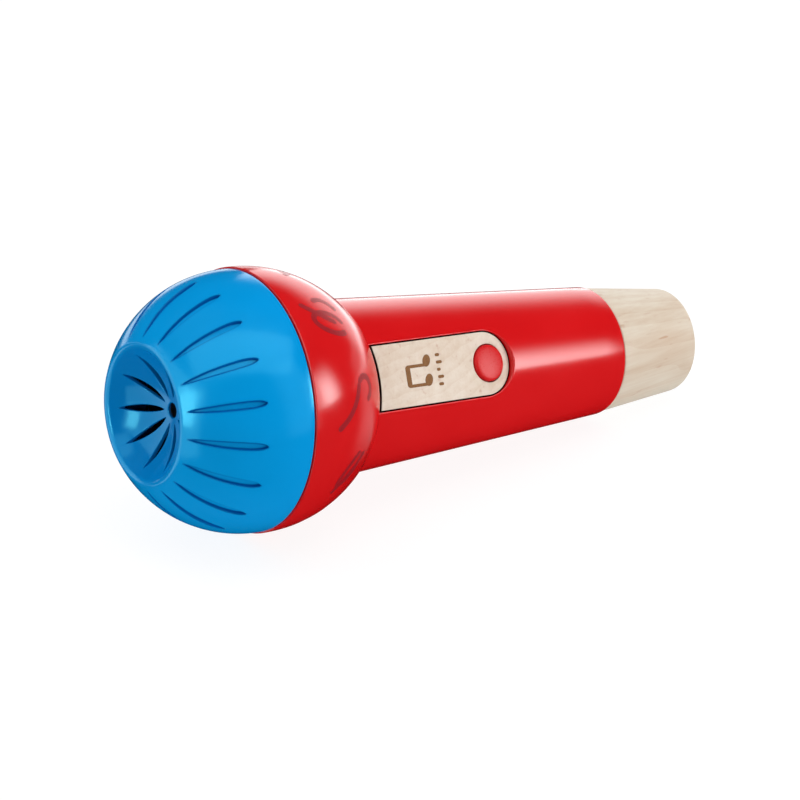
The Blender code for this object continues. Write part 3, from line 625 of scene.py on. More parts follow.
def bowl_outline():
    mouth_z = JOINT_Z + BOWL_MOUTH_GAP
    socket_z = JOINT_Z + TONGUE_LENGTH + GAP
    inner_radius = HEAD_RADIUS - BOWL_WALL
    inner_length = BOWL_LENGTH - BOWL_WALL
    rear = angle_at(BOWL_REAR_Z - 1.6 * BOWL_REAR_ROUNDING, EQUATOR_Z, BOWL_LENGTH)
    front = angle_at(mouth_z + 2 * BOWL_FRONT_ROUNDING, EQUATOR_Z, BOWL_LENGTH)
    rear_edge = math.radians(angle_at(BOWL_REAR_Z, EQUATOR_Z, BOWL_LENGTH))
    rear_radius = HEAD_RADIUS * math.sin(rear_edge)
    inner_front = angle_at(socket_z, EQUATOR_Z, inner_length)
    inner_rear = angle_at(BOWL_RING_Z, EQUATOR_Z, inner_length)
    corners = [(BOWL_REAR_Z, BOWL_BORE, 0), (BOWL_REAR_Z, rear_radius, BOWL_REAR_ROUNDING)]
    corners += plain(arc(EQUATOR_Z, BOWL_LENGTH, HEAD_RADIUS, rear, front, 60))
    corners += [(mouth_z, HEAD_RADIUS, BOWL_FRONT_ROUNDING), (mouth_z, inner_radius, 0)]
    corners += plain(arc(EQUATOR_Z, inner_length, inner_radius, inner_front, inner_rear, 20))
    corners += [(BOWL_RING_Z, BOWL_BORE, 0), (BOWL_LIP_INNER_Z, BOWL_BORE, 0)]
    return rounded(corners)


def make_bowl(material):
    mesh = turned("bowl", bowl_outline())
    return piece("bowl", mesh, material, "red_abs", stands_for=["head_bowl"])


# ---------------------------------------------------------------- handle


class PocketGrid:
    """One skin of the handle: columns that follow the pocket's outline, and rows that wrap its
    round end. Near the pocket a point is (x, y) in the inlay's plane, raised onto the cone."""

    COLUMNS = 240
    EDGE = 16
    LIP = 6
    NEAR = EDGE + LIP
    CORNER = math.radians(45)
    RINGS = 6

    def __init__(self, reach, lip, thinner, ends):
        self.reach = reach
        self.thinner = thinner
        self.lip = lip
        self.offsets = lip * (1 - np.cos(np.radians(np.linspace(0, 90, self.LIP + 1))))
        self.front = (POCKET_FRONT_Z - BUTTON_Z) / math.cos(SLOPE)
        self.rows = []
        self.front_rows(ends[0])
        self.pocket_start = len(self.rows)
        self.straight_rows()
        self.round_rows()
        self.tip_row = len(self.rows) - 1
        self.wrapping_rows()
        self.rear_rows(ends[1])
        self.points = np.array(self.rows)

    def raised(self, x, y):
        """Points on the cone over (x, y) of the inlay's plane."""
        height = np.zeros_like(x)
        for _ in range(6):
            z = BUTTON_Z + x * math.cos(SLOPE) + height * math.sin(SLOPE)
            radius = cone_radius(z) - self.thinner
            px = np.sqrt(radius**2 - y**2)
            height = (px - INLAY_X + x * math.sin(SLOPE)) / math.cos(SLOPE)
        return px, -y, z

    def add(self, x, y):
        """A row whose near columns lie over (x, y), the far ones spaced round the back."""
        px, py, pz = self.raised(x, y)
        angle = np.arctan2(-py, px)
        far = np.arange(1, self.COLUMNS // 2 - self.NEAR + 1) / (self.COLUMNS // 2 - self.NEAR)
        station = BUTTON_Z + x[-1] * math.cos(SLOPE)
        far_z = pz[-1] + (station - pz[-1]) * smooth(2 * far)
        angle = np.concatenate([angle, angle[-1] + (math.pi - angle[-1]) * far])
        z = np.concatenate([pz, far_z])
        self.add_ring(angle, z, cone_radius(z) - self.thinner)

    def add_ring(self, angle, z, radius):
        """A row from its half, mirrored over the inlay's middle plane."""
        half = cylindrical(radius, angle, z)
        other = half[-2:0:-1] * np.array([1, -1, 1])
        self.rows.append(np.concatenate([half, other]))

    def ring_angles(self, row):
        half = self.rows[row][: self.COLUMNS // 2 + 1]
        return np.arctan2(half[:, 1], half[:, 0])

    def edge_columns(self, edge, lips):
        inside = edge * np.arange(self.EDGE + 1) / self.EDGE
        return np.concatenate([inside, lips])

    def front_rows(self, ends):
        x = np.full(self.NEAR + 1, self.front)
        self.add(x, self.edge_columns(self.reach, self.reach + self.offsets[1:]))
        angle = self.ring_angles(0)
        self.rows = []
        for z, radius in ends:
            self.add_ring(angle, z, radius)

    def straight_rows(self):
        y = self.edge_columns(self.reach, self.reach + self.offsets[1:])
        neck = (CONE_START_Z - BUTTON_Z) / math.cos(SLOPE)
        for x in [self.front, *np.linspace(neck, INLAY_END_OFFSET, 16)]:
            self.add(np.full_like(y, x), y)

    def round_rows(self):
        for angle in np.linspace(0, self.CORNER, 15)[1:]:
            x = self.reach * math.sin(angle)
            lips = np.sqrt((self.reach + self.offsets[1:]) ** 2 - x**2)
            y = self.edge_columns(self.reach * math.cos(angle), lips)
            x = np.full_like(y, INLAY_END_OFFSET + x)
            if angle == self.CORNER:
                bend = self.CORNER * np.arange(self.EDGE + 1) / self.EDGE
                x[: self.EDGE + 1] = INLAY_END_OFFSET + self.reach * np.cos(bend)
                y[: self.EDGE + 1] = self.reach * np.sin(bend)
            self.add(x, y)

    def wrapping_rows(self):
        """Rows round the end: each keeps one distance from the outline, then they straighten."""
        for row in range(1, self.LIP + 1):
            ring, angle = [], []
            for column in range(self.NEAR + 1):
                lip = max(column - self.EDGE, 0)
                if lip <= row:
                    ring.append(row)
                    angle.append(self.CORNER * column / (self.EDGE + row))
                else:
                    ring.append(lip)
                    edge = self.reach * math.sin(self.CORNER) / (self.reach + self.offsets[lip])
                    side = math.acos(edge)
                    angle.append(side + (self.CORNER - side) * row / lip)
            distance = self.reach + self.offsets[ring]
            angle = np.array(angle)
            x, y = INLAY_END_OFFSET + distance * np.cos(angle), distance * np.sin(angle)
            self.add(x, y)
        end_x = INLAY_END_OFFSET + self.reach + POCKET_FADE
        end_y = self.edge_columns(self.reach, self.reach + self.offsets[1:])
        steps = 12
        for step in range(1, steps + 1):
            share = step / steps
            self.add(x + (end_x - x) * share**1.3, y + (end_y - y) * smooth(share))

    def rear_rows(self, ends):
        angle = self.ring_angles(-1)
        start = self.rows[-1][0][2]
        stop = ends[0][0]
        for share in (0.2, 0.4, 0.6, 0.8):
            z = start + (stop - start) * share
            self.add_ring(angle, z, cone_radius(z) - self.thinner)
        for z, radius in ends:
            self.add_ring(angle, z, radius)

    def plane(self):
        """Each point's (x, y) in the inlay's plane."""
        offset = self.points - np.array(INLAY_ORIGIN)
        return offset @ np.array(INLAY_ALONG), -offset[..., 1]

    def round_lip(self):
        """Rolls the skin down into the pocket along its outline."""
        x, y = self.plane()
        past = np.maximum(x - INLAY_END_OFFSET, 0)
        away = np.hypot(past, y) - self.reach
        outside = 1 - np.clip(away / self.lip, 0, 1)
        drop = self.lip * (1 - np.sqrt(1 - outside**2))
        drop[(x < self.front - 1e-6) | (self.points[..., 0] < 0)] = 0
        self.points = self.points - drop[..., None] * np.array(INLAY_OUT)

    def mouth(self):
        """The (row, column) pairs once round the pocket's mouth."""
        edge, start, tip = self.EDGE, self.pocket_start, self.tip_row
        loop = [(start, c) for c in range(-edge, edge)]
        loop += [(r, edge) for r in range(start, tip)]
        loop += [(tip, c) for c in range(edge, -edge, -1)]
        loop += [(r, -edge) for r in range(tip, start, -1)]
        return loop

    def skin(self, floor, well, well_floor):
        """All points: the grid, then the pocket's wall and floor and the button's well."""
        rows, columns = np.array(self.mouth()).T
        x, y = (grid[rows, columns % self.COLUMNS] for grid in self.plane())
        mouth = self.points[rows, columns % self.COLUMNS] - np.array(INLAY_ORIGIN)
        step = np.minimum(mouth @ np.array(INLAY_OUT), 0) - JOINT_SHADOW_TOP
        angle = np.arctan2(y, x)
        to_axis = np.array(inlay_matrix())
        rings = []
        # The first two rings split the pocket's wall where the painted shade begins.
        for ring_x, ring_y, height in (
            (x, y, step),
            (x, y, step - JOINT_SHADOW_TOP),
            (x, y, floor),
            (well * np.cos(angle), well * np.sin(angle), floor),
            (well * np.cos(angle), well * np.sin(angle), well_floor),
            (GUIDE_RADIUS * np.cos(angle), GUIDE_RADIUS * np.sin(angle), well_floor),
        ):
            flat = np.stack([ring_x, ring_y, height * np.ones_like(ring_x)], axis=-1)
            rings.append(flat @ to_axis[:3, :3].T + to_axis[:3, 3])
        return np.concatenate([self.points.reshape(-1, 3), *rings])

    def tint(self):
        """A number at each point of the skin: 1 in the joint round the inlay and below it, where shade is painted.
        """
        lit = self.points.size // 3 + len(self.mouth())
        return np.concatenate([np.zeros(lit), np.ones((self.RINGS - 1) * len(self.mouth()))])

    def quads(self):
        """Quads of the whole skin, with the cells inside the pocket's outline left out."""
        rows = len(self.points)
        index = np.arange(rows * self.COLUMNS).reshape(rows, self.COLUMNS)
        grid = ring_quads(index)
        kept = np.ones(grid.shape[:2], bool)
        inside = np.arange(-self.EDGE, self.EDGE) % self.COLUMNS
        kept[self.pocket_start : self.tip_row, inside] = False
        mouth = np.array([index[r, c % self.COLUMNS] for r, c in self.mouth()])
        count = len(mouth)
        first = rows * self.COLUMNS
        rings = [first + count * k + np.arange(count) for k in range(self.RINGS)]
        loops = np.stack([mouth, *rings])
        return np.concatenate([grid[kept], ring_quads(loops).reshape(-1, 4)])


def make_handle(material):
    reach = INLAY_HALF_WIDTH + POCKET_GAP
    neck_inner = CONE_START_RADIUS - HANDLE_WALL
    neck_end = POCKET_FRONT_Z - HANDLE_PLAIN_NECK
    flange = [
        (HANDLE_FRONT_Z, HANDLE_FLANGE_RADIUS),
        (HANDLE_FLANGE_REAR_Z, HANDLE_FLANGE_RADIUS),
        (HANDLE_FLANGE_REAR_Z, CONE_START_RADIUS),
        (neck_end, CONE_START_RADIUS),
    ]
    stations = (0, 0.7 * MM, 1.4 * MM, 0.9 * (neck_end - HANDLE_FRONT_Z))
    bore = [(HANDLE_FRONT_Z + station, neck_inner) for station in stations]
    edge = []
    for down, back in quarter(6):
        z = CONE_END_Z - HANDLE_EDGE * back
        edge.append((z, float(cone_radius(z)) - HANDLE_EDGE * down))
    tail_inner = CONE_END_RADIUS - HANDLE_WALL
    back = [(CONE_END_Z - 0.1 * MM * i, tail_inner) for i in reversed(range(len(edge)))]
    outer = PocketGrid(reach, POCKET_LIP, 0.0, (flange, edge))
    outer.round_lip()
    inner = PocketGrid(reach + POCKET_WALL, POCKET_LIP, HANDLE_WALL, (bore, back))
    floor = -POCKET_DEPTH
    mesh = shell(
        "handle",
        outer.skin(floor, WELL_RADIUS, WELL_FLOOR_TOP),
        inner.skin(floor - POCKET_FLOOR, WELL_RADIUS + WELL_WALL, WELL_FLOOR_BOTTOM),
        outer.quads(),
        tint=outer.tint(),
    )
    return piece("handle", mesh, material, "red_abs", stands_for=["handle_tube"])


# ---------------------------------------------------------------- inlay, button and plug


def inlay_front():
    """The bowl cuts the inlay's plane in a near circle: its centre and the radius with a gap."""
    centre = (EQUATOR_Z - BUTTON_Z) / math.cos(SLOPE)
    height = INLAY_X + (BUTTON_Z - BOWL_REAR_Z) * math.tan(SLOPE)
    return centre, BOWL_LENGTH * math.sqrt(1 - (height / HEAD_RADIUS) ** 2) + INLAY_FRONT_GAP


def inlay_ray(angle):
    """Distance from the button's middle to the inlay's outline, which follows the bowl."""
    centre, radius = inlay_front()
    dx, dy = math.cos(angle), math.sin(angle)
    half = INLAY_HALF_WIDTH
    reaches = []
    if dx < 0:
        within = (dx * centre) ** 2 - centre**2 + radius**2
        if within > 0:
            reaches.append(dx * centre - math.sqrt(within))
    if abs(dy) > 1e-9:
        side = half / abs(dy)
        if side * dx <= INLAY_END_OFFSET:
            reaches.append(side)
    inward = dx * INLAY_END_OFFSET
    reach = inward + math.sqrt(inward**2 - INLAY_END_OFFSET**2 + half**2)
    if reach * dx >= INLAY_END_OFFSET:
        reaches.append(reach)
    return min(reaches)


def make_inlay(material):
    """Rings of points from the hole's foot over the top face and down to the outline's foot."""
    centre, radius = inlay_front()
    corner = math.atan2(INLAY_HALF_WIDTH, centre + math.sqrt(radius**2 - INLAY_HALF_WIDTH**2))
    sides, front = np.linspace(-corner, corner, 201), np.linspace(corner, TAU - corner, 41)
    angles = np.concatenate([sides, front[1:-1]])
    ray = np.array([inlay_ray(a) for a in angles])
    edge = np.stack([ray * np.cos(angles), ray * np.sin(angles)], axis=-1)
    tangent = np.roll(edge, -1, axis=0) - np.roll(edge, 1, axis=0)
    inward = np.stack([-tangent[:, 1], tangent[:, 0]], axis=-1)
    inward /= np.linalg.norm(inward, axis=1)[:, None]
    hole = BUTTON_RADIUS + GAP
    circle = np.stack([np.cos(angles), np.sin(angles)], axis=-1)
    rings = [(circle * hole, -INLAY_THICKNESS), (circle * hole, -INLAY_EDGE)]
    for outwards, down in quarter(5)[1:]:
        rings.append((circle * (hole + INLAY_EDGE * outwards), -INLAY_EDGE * down))
    for down, inset in quarter(5):
        rings.append((edge + inward * INLAY_EDGE * inset, -INLAY_EDGE * down))
    rings.append((edge, -INLAY_THICKNESS))
    points = np.concatenate([np.column_stack([xy, np.full(len(xy), z)]) for xy, z in rings])
    index = np.arange(len(points)).reshape(len(rings), -1)
    index = np.vstack([index, index[:1]])
    mesh = mesh_of("inlay", points, [ring_quads(index).reshape(-1, 4)])
    return piece("inlay", mesh, material, "maple_inlay", matrix=INLAY, stands_for=["wood_inlay"])


def make_button(material):
    """A low crown, its flange under the inlay, a skirt that stops the stroke and a stem."""
    flange_top = -POCKET_DEPTH
    flange_bottom = flange_top - BUTTON_FLANGE_THICKNESS
    skirt_inner = BUTTON_FLANGE_RADIUS - BUTTON_SKIRT_WALL
    crown = [
        (BUTTON_HEIGHT - BUTTON_CROWN * (r / BUTTON_RADIUS) ** 2, r)
        for r in np.linspace(0, BUTTON_RADIUS - 2 * BUTTON_ROUNDING, 8)
    ]
    outline = rounded(
        plain(crown)
        + [
            (BUTTON_HEIGHT - BUTTON_CROWN, BUTTON_RADIUS, BUTTON_ROUNDING),
            (flange_top, BUTTON_RADIUS, 0),
            (flange_top, BUTTON_FLANGE_RADIUS, BUTTON_EDGE),
            (BUTTON_SKIRT_BOTTOM, BUTTON_FLANGE_RADIUS, BUTTON_EDGE),
            (BUTTON_SKIRT_BOTTOM, skirt_inner, 0),
            (flange_bottom, skirt_inner, 0),
            (flange_bottom, STEM_RADIUS, 0),
            (STEM_BOTTOM, STEM_RADIUS, BUTTON_EDGE),
            (STEM_BOTTOM, 0.0, 0),
        ],
        steps=8,
    )
    mesh = turned("button_cap", outline, BUTTON_SEGMENTS)
    place = {"body": "button", "matrix": INLAY}
    return piece("button_cap", mesh, material, "red_button", **place, stands_for=["button"])


def make_button_spring(material):
    """The return coil on the well's floor, under the button."""
    low = WELL_FLOOR_TOP + GAP + RETURN_SPRING_WIRE
    high = -POCKET_DEPTH - BUTTON_FLANGE_THICKNESS - GAP - RETURN_SPRING_WIRE
    steps = round(RETURN_SPRING_TURNS * RETURN_SPRING_STEPS)
    share = np.linspace(0, 1, steps + 1)[:, None]
    angle = TAU * RETURN_SPRING_TURNS * share
    around = TAU * np.arange(RETURN_SPRING_SIDES) / RETURN_SPRING_SIDES
    r = RETURN_SPRING_RADIUS + RETURN_SPRING_WIRE * np.cos(around)
    z = low + (high - low) * share + RETURN_SPRING_WIRE * np.sin(around)
    points = cylindrical(r, angle, z).reshape(-1, 3)
    index = np.arange(z.size).reshape(z.shape)
    faces = [ring_quads(index).reshape(-1, 4), index[:1], index[-1:, ::-1]]
    coil = piece(
        "return_coil",
        mesh_of("return_coil", points, faces),
        material,
        "spring_steel",
        matrix=INLAY,
        stands_for=["button_spring"],
    )
    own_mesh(coil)


def make_plug(material):
    outline = rounded(
        [
            (LENGTH, 0.0, 0),
            (LENGTH, PLUG_END_RADIUS, PLUG_ROUNDING),
            (PLUG_START_Z, PLUG_START_RADIUS, PLUG_EDGE),
            (PLUG_START_Z, SPIGOT_RADIUS, 0),
            (SPIGOT_FRONT_Z, SPIGOT_RADIUS, PLUG_EDGE),
            (SPIGOT_FRONT_Z, PILOT_RADIUS, 0),
            (PILOT_END_Z, PILOT_RADIUS, 0),
            (PILOT_END_Z + PILOT_RADIUS, 0.0, 0),
        ],
        steps=12,
    )
    mesh = turned("plug", outline, PLUG_SEGMENTS)
    return piece("plug", mesh, material, "maple_plug", stands_for=["end_plug"])


# ---------------------------------------------------------------- prints


def curved(start, end, bulge):
    """A shallow arc from start to end that bows to its left by the bulge."""
    start, end = np.array(start, float), np.array(end, float)
    share = np.linspace(0, 1, 25)[:, None]
    chord = end - start
    left = np.array((-chord[1], chord[0])) / np.hypot(*chord)
    return start + chord * share + left * bulge * 4 * share * (1 - share)


def tilted(centre, x, y, tilt):
    """Points turned by the tilt and moved to their centre."""
    tilt = math.radians(tilt)
    turned_x = x * math.cos(tilt) - y * math.sin(tilt)
    turned_y = x * math.sin(tilt) + y * math.cos(tilt)
    return np.stack([centre[0] + turned_x, centre[1] + turned_y], axis=-1)


def swept(centre, reach, start, end, tilt=0.0):
    """Part of an ellipse round a centre, between two angles."""
    angle = np.radians(np.linspace(start, end, 41))
    return tilted(centre, reach[0] * np.cos(angle), reach[1] * np.sin(angle), tilt)


def stroke(path, width):
    """A line of even width with round ends, as (left, middle, right) columns of points."""
    steps = np.hypot(*np.diff(path, axis=0).T)
    run = np.concatenate([[0], np.cumsum(steps)])
    cap = width / 2 * (1 - np.cos(np.linspace(0, np.pi / 2, 7)))
    inner = np.linspace(width / 2, run[-1] - width / 2, max(len(path) * 2, 8))
    at = np.concatenate([cap[:-1], inner, (run[-1] - cap[:-1])[::-1]])
    x, y = np.interp(at, run, path[:, 0]), np.interp(at, run, path[:, 1])
    from_end = np.minimum(np.minimum(at, run[-1] - at), width / 2)
    square = (width / 2) ** 2 - (width / 2 - from_end) ** 2
    half = np.sqrt(np.maximum(square, (STROKE_TIP * width) ** 2))
    tangent = np.stack([np.gradient(x), np.gradient(y)], axis=-1)
    tangent /= np.hypot(*tangent.T)[:, None]
    left = np.stack([-tangent[:, 1], tangent[:, 0]], axis=-1) * half[:, None]
    middle = np.stack([x, y], axis=-1)
    return np.stack([middle + left, middle, middle - left], axis=1)


def blot(centre, reach, tilt):
    """A filled ellipse, in the same columns as a stroke."""
    angle = np.linspace(0.02, np.pi - 0.02, 25)
    x, y = -reach[0] * np.cos(angle), reach[1] * np.sin(angle)
    return np.stack([tilted(centre, x, y * side, tilt) for side in (1, 0, -1)], axis=1)


def on_bowl(station, azimuth):
    """Lays flat points, (towards the tail, round the bowl), on the bowl's outside."""
    start = math.acos((station - EQUATOR_Z) / BOWL_LENGTH)
    mean_radius = (BOWL_LENGTH + HEAD_RADIUS) / 2

    def place(points, lift):
        angle = start - points[..., 0] / mean_radius
        z, r = bowl_point(angle, lift)
        round_angle = math.radians(azimuth) + points[..., 1] / (HEAD_RADIUS * np.sin(angle))
        return cylindrical(r, round_angle, z)

    return place


def on_inlay(station):
    """Lays flat points, (towards the tail, across), on the inlay's top face."""

    def place(points, lift):
        x = points[..., 0] + (station - BUTTON_Z) / math.cos(SLOPE)
        return np.stack([x, points[..., 1], np.full_like(x, lift)], axis=-1)

    return place


def make_print(name, strokes, place, thickness, material, slot, matrix=AXIS):
    """A raised film of ink made of strokes, each a little thicker than the last."""
    tops, bottoms, faces, count = [], [], [], 0
    for number, columns in enumerate(strokes):
        top = place(columns * MM, thickness + STROKE_STEP * number).reshape(-1, 3)
        index = np.arange(len(top)).reshape(columns.shape[:2]) + count
        tops.append(top)
        bottoms.append(place(columns * MM, -STROKE_STEP).reshape(-1, 3))
        faces.append(ring_quads(index, around=False).reshape(-1, 4))
        count += len(top)
    mesh = shell(name, np.concatenate(tops), np.concatenate(bottoms), np.concatenate(faces))
    return piece(name, mesh, material, slot, matrix=matrix)


def make_prints(material):
    # A quaver's stem with its flag curled over
    crook = [
        curved((-7.3, 8.4), (2.9, -4.4), 1.7),
        swept((5.8, -2.4), (3.4, 3.5), -150, 75),
    ]
    # A tailed loop, as in the middle of a clef
    clef = [
        swept((0.6, 1.4), (6.0, 3.4), 20, 335, tilt=12),
        curved((-7.8, -5.4), (3.2, 1.2), 0.7),
        swept((2.6, -3.2), (5.4, 3.4), 170, 300, tilt=38),
    ]
    # A slim loop with a stem through it
    leaf = [
        swept((0.0, 0.0), (6.2, 2.1), 12, 340, tilt=-48),
        curved((-5.6, 7.4), (6.2, -3.6), -0.6),
    ]
    plan = [
        (clef, 46.5, -30.0),
        (crook, 49.0, 8.0),
        (leaf, 50.4, 43.0),
        (clef, 46.5, 86.0),
        (crook, 48.0, 124.0),
        (leaf, 49.0, 163.0),
        (clef, 47.0, 204.0),
        (crook, 49.0, 246.0),
        (leaf, 49.5, 288.0),
    ]
    for number, (paths, station, azimuth) in enumerate(plan, 1):
        strokes = [stroke(path, PRINT_WIDTH) for path in paths]
        place = on_bowl(station * MM, azimuth)
        make_print(f"note_print_{number}", strokes, place, PRINT_THICKNESS, material, "red_abs")


def make_mark(material):
    """A pair of beamed notes over a row of bars, with its top towards the head."""
    head_x, beam_x, bar_x = 2.0, -5.6, 5.6
    strokes = [
        blot((head_x, 3.3), (1.9, 1.45), tilt=65),
        blot((head_x, -2.5), (1.9, 1.45), tilt=65),
    ]
    lines = [
        ((head_x, 2.1), (beam_x - 0.4, 2.1), MARK_WIDTH),
        ((head_x, -3.7), (beam_x - 0.4, -3.7), MARK_WIDTH),
        ((beam_x, 2.5), (beam_x, -4.1), BEAM_WIDTH),
    ]
    for across, length in ((4.6, 1.7), (2.4, 2.3), (0.2, 1.4), (-2.0, 2.3), (-4.2, 1.8)):
        lines.append(((bar_x, across), (bar_x + length, across), MARK_WIDTH))
    strokes += [stroke(np.linspace(start, end, 13), width) for start, end, width in lines]
    place = on_inlay(MARK_Z)
    make_print("inlay_mark", strokes, place, MARK_THICKNESS, material, "maple_inlay", INLAY)


# ---------------------------------------------------------------- materials


class Nodes:
    """Shorthand for the nodes of one tree."""

    def __init__(self, tree):
        self.tree = tree

    def feed(self, socket, value):
        """Links another node's output to a socket, or sets the socket's own value."""
        if isinstance(value, bpy.types.NodeSocket):
            self.tree.links.new(value, socket)
        elif socket.type == "RGBA":
            socket.default_value = (*value, 1.0)
        else:
            socket.default_value = value

    def node(self, kind, inputs=None, **settings):
        node = self.tree.nodes.new(kind)
        for key, value in settings.items():
            setattr(node, key, value)
        for socket, value in (inputs or {}).items():
            self.feed(node.inputs[socket], value)
        return node

    def math(self, operation, *values):
        return self.node("ShaderNodeMath", dict(enumerate(values)), operation=operation).outputs[0]

    def sum(self, *terms):
        """The sum of (value, weight) terms."""
        total = None
        for value, weight in terms:
            part = value if weight == 1 else self.math("MULTIPLY", value, weight)
            total = part if total is None else self.math("ADD", total, part)
        return total

    def between(self, value, low, high, start=0.0, end=1.0, **settings):
        """Maps a value from the range low..high to start..end."""
        ends = {"From Min": low, "From Max": high, "To Min": start, "To Max": end}
        node = self.node("ShaderNodeMapRange", {"Value": value, **ends}, **settings)
        return node.outputs["Result"]


class Look(Nodes):
    """One procedural material, laid out in a piece's own frame."""

    def __init__(self, name, matrix=AXIS, **constants):
        self.material = bpy.data.materials.new(name)
        self.material.use_nodes = True
        super().__init__(self.material.node_tree)
        self.shader = self.tree.nodes["Principled BSDF"].inputs
        place = self.node("ShaderNodeTexCoord").outputs["Object"]
        turn = {"Location": matrix.translation, "Rotation": matrix.to_euler()}
        local = self.node("ShaderNodeMapping", {"Vector": place, **turn}, vector_type="TEXTURE")
        self.place = local.outputs["Vector"]
        for socket, value in constants.items():
            self.feed(self.shader[socket.replace("_", " ")], value)

    def noise(self, scale, detail=2.0, roughness=0.5, shift=(0, 0, 0)):
        """Noise of so many features a metre along each axis."""
        scaled = {"Vector": self.place, "Scale": scale, "Location": shift}
        place = self.node("ShaderNodeMapping", scaled).outputs["Vector"]
        kind = {"Scale": 1.0, "Detail": detail, "Roughness": roughness}
        return self.node("ShaderNodeTexNoise", {"Vector": place, **kind}).outputs["Fac"]

    def ramp(self, value, start, end):
        """A colour between two (position, colour) stops."""
        node = self.node("ShaderNodeValToRGB", {"Fac": value})
        for element, (position, colour) in zip(node.color_ramp.elements, (start, end)):
            element.position = position
            element.color = (*colour, 1.0)
        return node.outputs["Color"]

    def mix(self, share, a, b):
        sockets = {"Factor_Float": share, "A_Color": a, "B_Color": b}
        node = self.node("ShaderNodeMix", data_type="RGBA")
        for socket in node.inputs:
            if socket.identifier in sockets:
                self.feed(socket, sockets[socket.identifier])
        return next(s for s in node.outputs if s.identifier == "Result_Color")

    def connect(self, socket, value):
        self.feed(self.shader[socket], value)

    def bump(self, height, strength, distance):
        inputs = {"Height": height, "Strength": strength, "Distance": distance}
        self.connect("Normal", self.node("ShaderNodeBump", inputs).outputs["Normal"])


def shade(colour, factor):
    return tuple(min(channel * factor, 1.0) for channel in colour)


def plastic(name, colour, roughness, painted_shade=None, **constants):
    """Moulded plastic: faint flow clouds in the tint, fine satin grain and a slight orange peel.
    Where the mesh is tinted it takes painted shade: a deeper colour without a sheen."""
    look = Look(name, **constants)
    clouds = look.noise((55, 55, 40), detail=3.0)
    grain = look.noise((2600,) * 3, detail=2.0)
    tint = look.ramp(clouds, (0.3, shade(colour, 0.97)), (0.7, shade(colour, 1.03)))
    if painted_shade is not None:
        # Painted shade: where the mesh's tint is set, the colour darkens and the sheen goes.
        depth = look.node("ShaderNodeAttribute", attribute_name="tint").outputs["Fac"]
        tint = look.mix(depth, tint, painted_shade)
        look.connect("Specular IOR Level", look.between(depth, 0.3, 1.0, 0.5, 0.0))
    look.connect("Base Color", tint)
    worn = look.sum((clouds, 0.5), (grain, 0.5))
    look.connect("Roughness", look.between(worn, 0.35, 0.65, roughness - 0.03, roughness + 0.03))
    ripple = look.noise((260,) * 3, detail=1.0)
    look.bump(look.sum((ripple, 1), (grain, 0.03)), 0.03, 0.05 * MM)
    return look.material


def wood(name, matrix, pale, tan, fleck, pith, slant, strength, burnt=None):
    """Close-grained maple: growth bands round a far pith, slanting fibres and streaks, and short
    reddish rays. Where it was cut by a laser, below the burnt height, its edge is charred."""
    look = Look(name, matrix, Specular_IOR_Level=0.35)
    position = look.node("ShaderNodeSeparateXYZ", {"Vector": look.place}).outputs
    across, along = position["X"], position["Z"]
    slanted = look.sum((position["Y"], 1), (along, slant))
    place = look.node("ShaderNodeCombineXYZ", {"X": across, "Y": slanted, "Z": along})
    look.place = place.outputs["Vector"]
    wander = look.noise((70, 70, 9), detail=2.0)
    x, y = look.math("ADD", across, pith[0]), look.math("ADD", slanted, pith[1])
    square = look.sum((look.math("MULTIPLY", x, x), 1), (look.math("MULTIPLY", y, y), 1))
    rings = look.sum((look.math("SQRT", square), 300), (wander, 1.6))
    band = look.math("POWER", look.math("FRACT", rings), 2.2)
    fibre = look.noise((1300, 1300, 45), detail=4.0, roughness=0.6)
    streak = look.noise((330, 330, 30), detail=2.0, shift=(0.7, 2.3, 1.1))
    patch = look.noise((60, 60, 25), detail=3.0)
    tone = look.sum((band, 0.10), (fibre, 0.26), (streak, 0.34), (patch, 0.55))
    colour = look.ramp(tone, (0.46, pale), (0.84, tan))
    ray = look.noise((620, 620, 150), detail=1.0, roughness=0.4, shift=(3.1, 1.7, 0.4))
    ray = look.math("MULTIPLY", look.between(ray, 0.65, 0.76), look.between(streak, 0.44, 0.58))
    colour = look.mix(look.math("MULTIPLY", ray, 0.5), colour, fleck)
    if burnt is not None:
        depth = look.between(along, burnt, burnt - 0.1 * MM)
        colour = look.mix(depth, colour, (0.015, 0.007, 0.004))
    look.connect("Base Color", colour)
    look.connect("Roughness", look.between(fibre, 0.3, 0.7, 0.50, 0.62))
    look.bump(look.math("SUBTRACT", fibre, ray), strength, 0.03 * MM)
    return look.material


def steel(name, colour, roughness, scratch):
    """Drawn or plated steel with fine lines and a mottled sheen."""
    look = Look(name, Metallic=1.0)
    lines = look.noise((scratch,) * 3, detail=3.0, roughness=0.6)
    mottle = look.noise((260,) * 3, detail=3.0)
    tint = look.ramp(mottle, (0.3, shade(colour, 0.86)), (0.7, shade(colour, 1.08)))
    look.connect("Base Color", tint)
    look.connect("Roughness", look.between(lines, 0.3, 0.7, roughness - 0.06, roughness + 0.08))
    look.bump(lines, 0.15, 0.02 * MM)
    return look.material


def ink(name, colour, roughness):
    """A thin printed film, slightly uneven where the pad lifted off."""
    look = Look(name, Specular_IOR_Level=0.25)
    speckle = look.noise((1400,) * 3, detail=3.0, roughness=0.7)
    look.connect("Base Color", look.ramp(speckle, (0.32, shade(colour, 1.25)), (0.6, colour)))
    look.connect("Roughness", look.between(speckle, 0.3, 0.7, roughness - 0.05, roughness + 0.05))
    look.bump(speckle, 0.05, 0.01 * MM)
    return look.material


# ---------------------------------------------------------------- stage


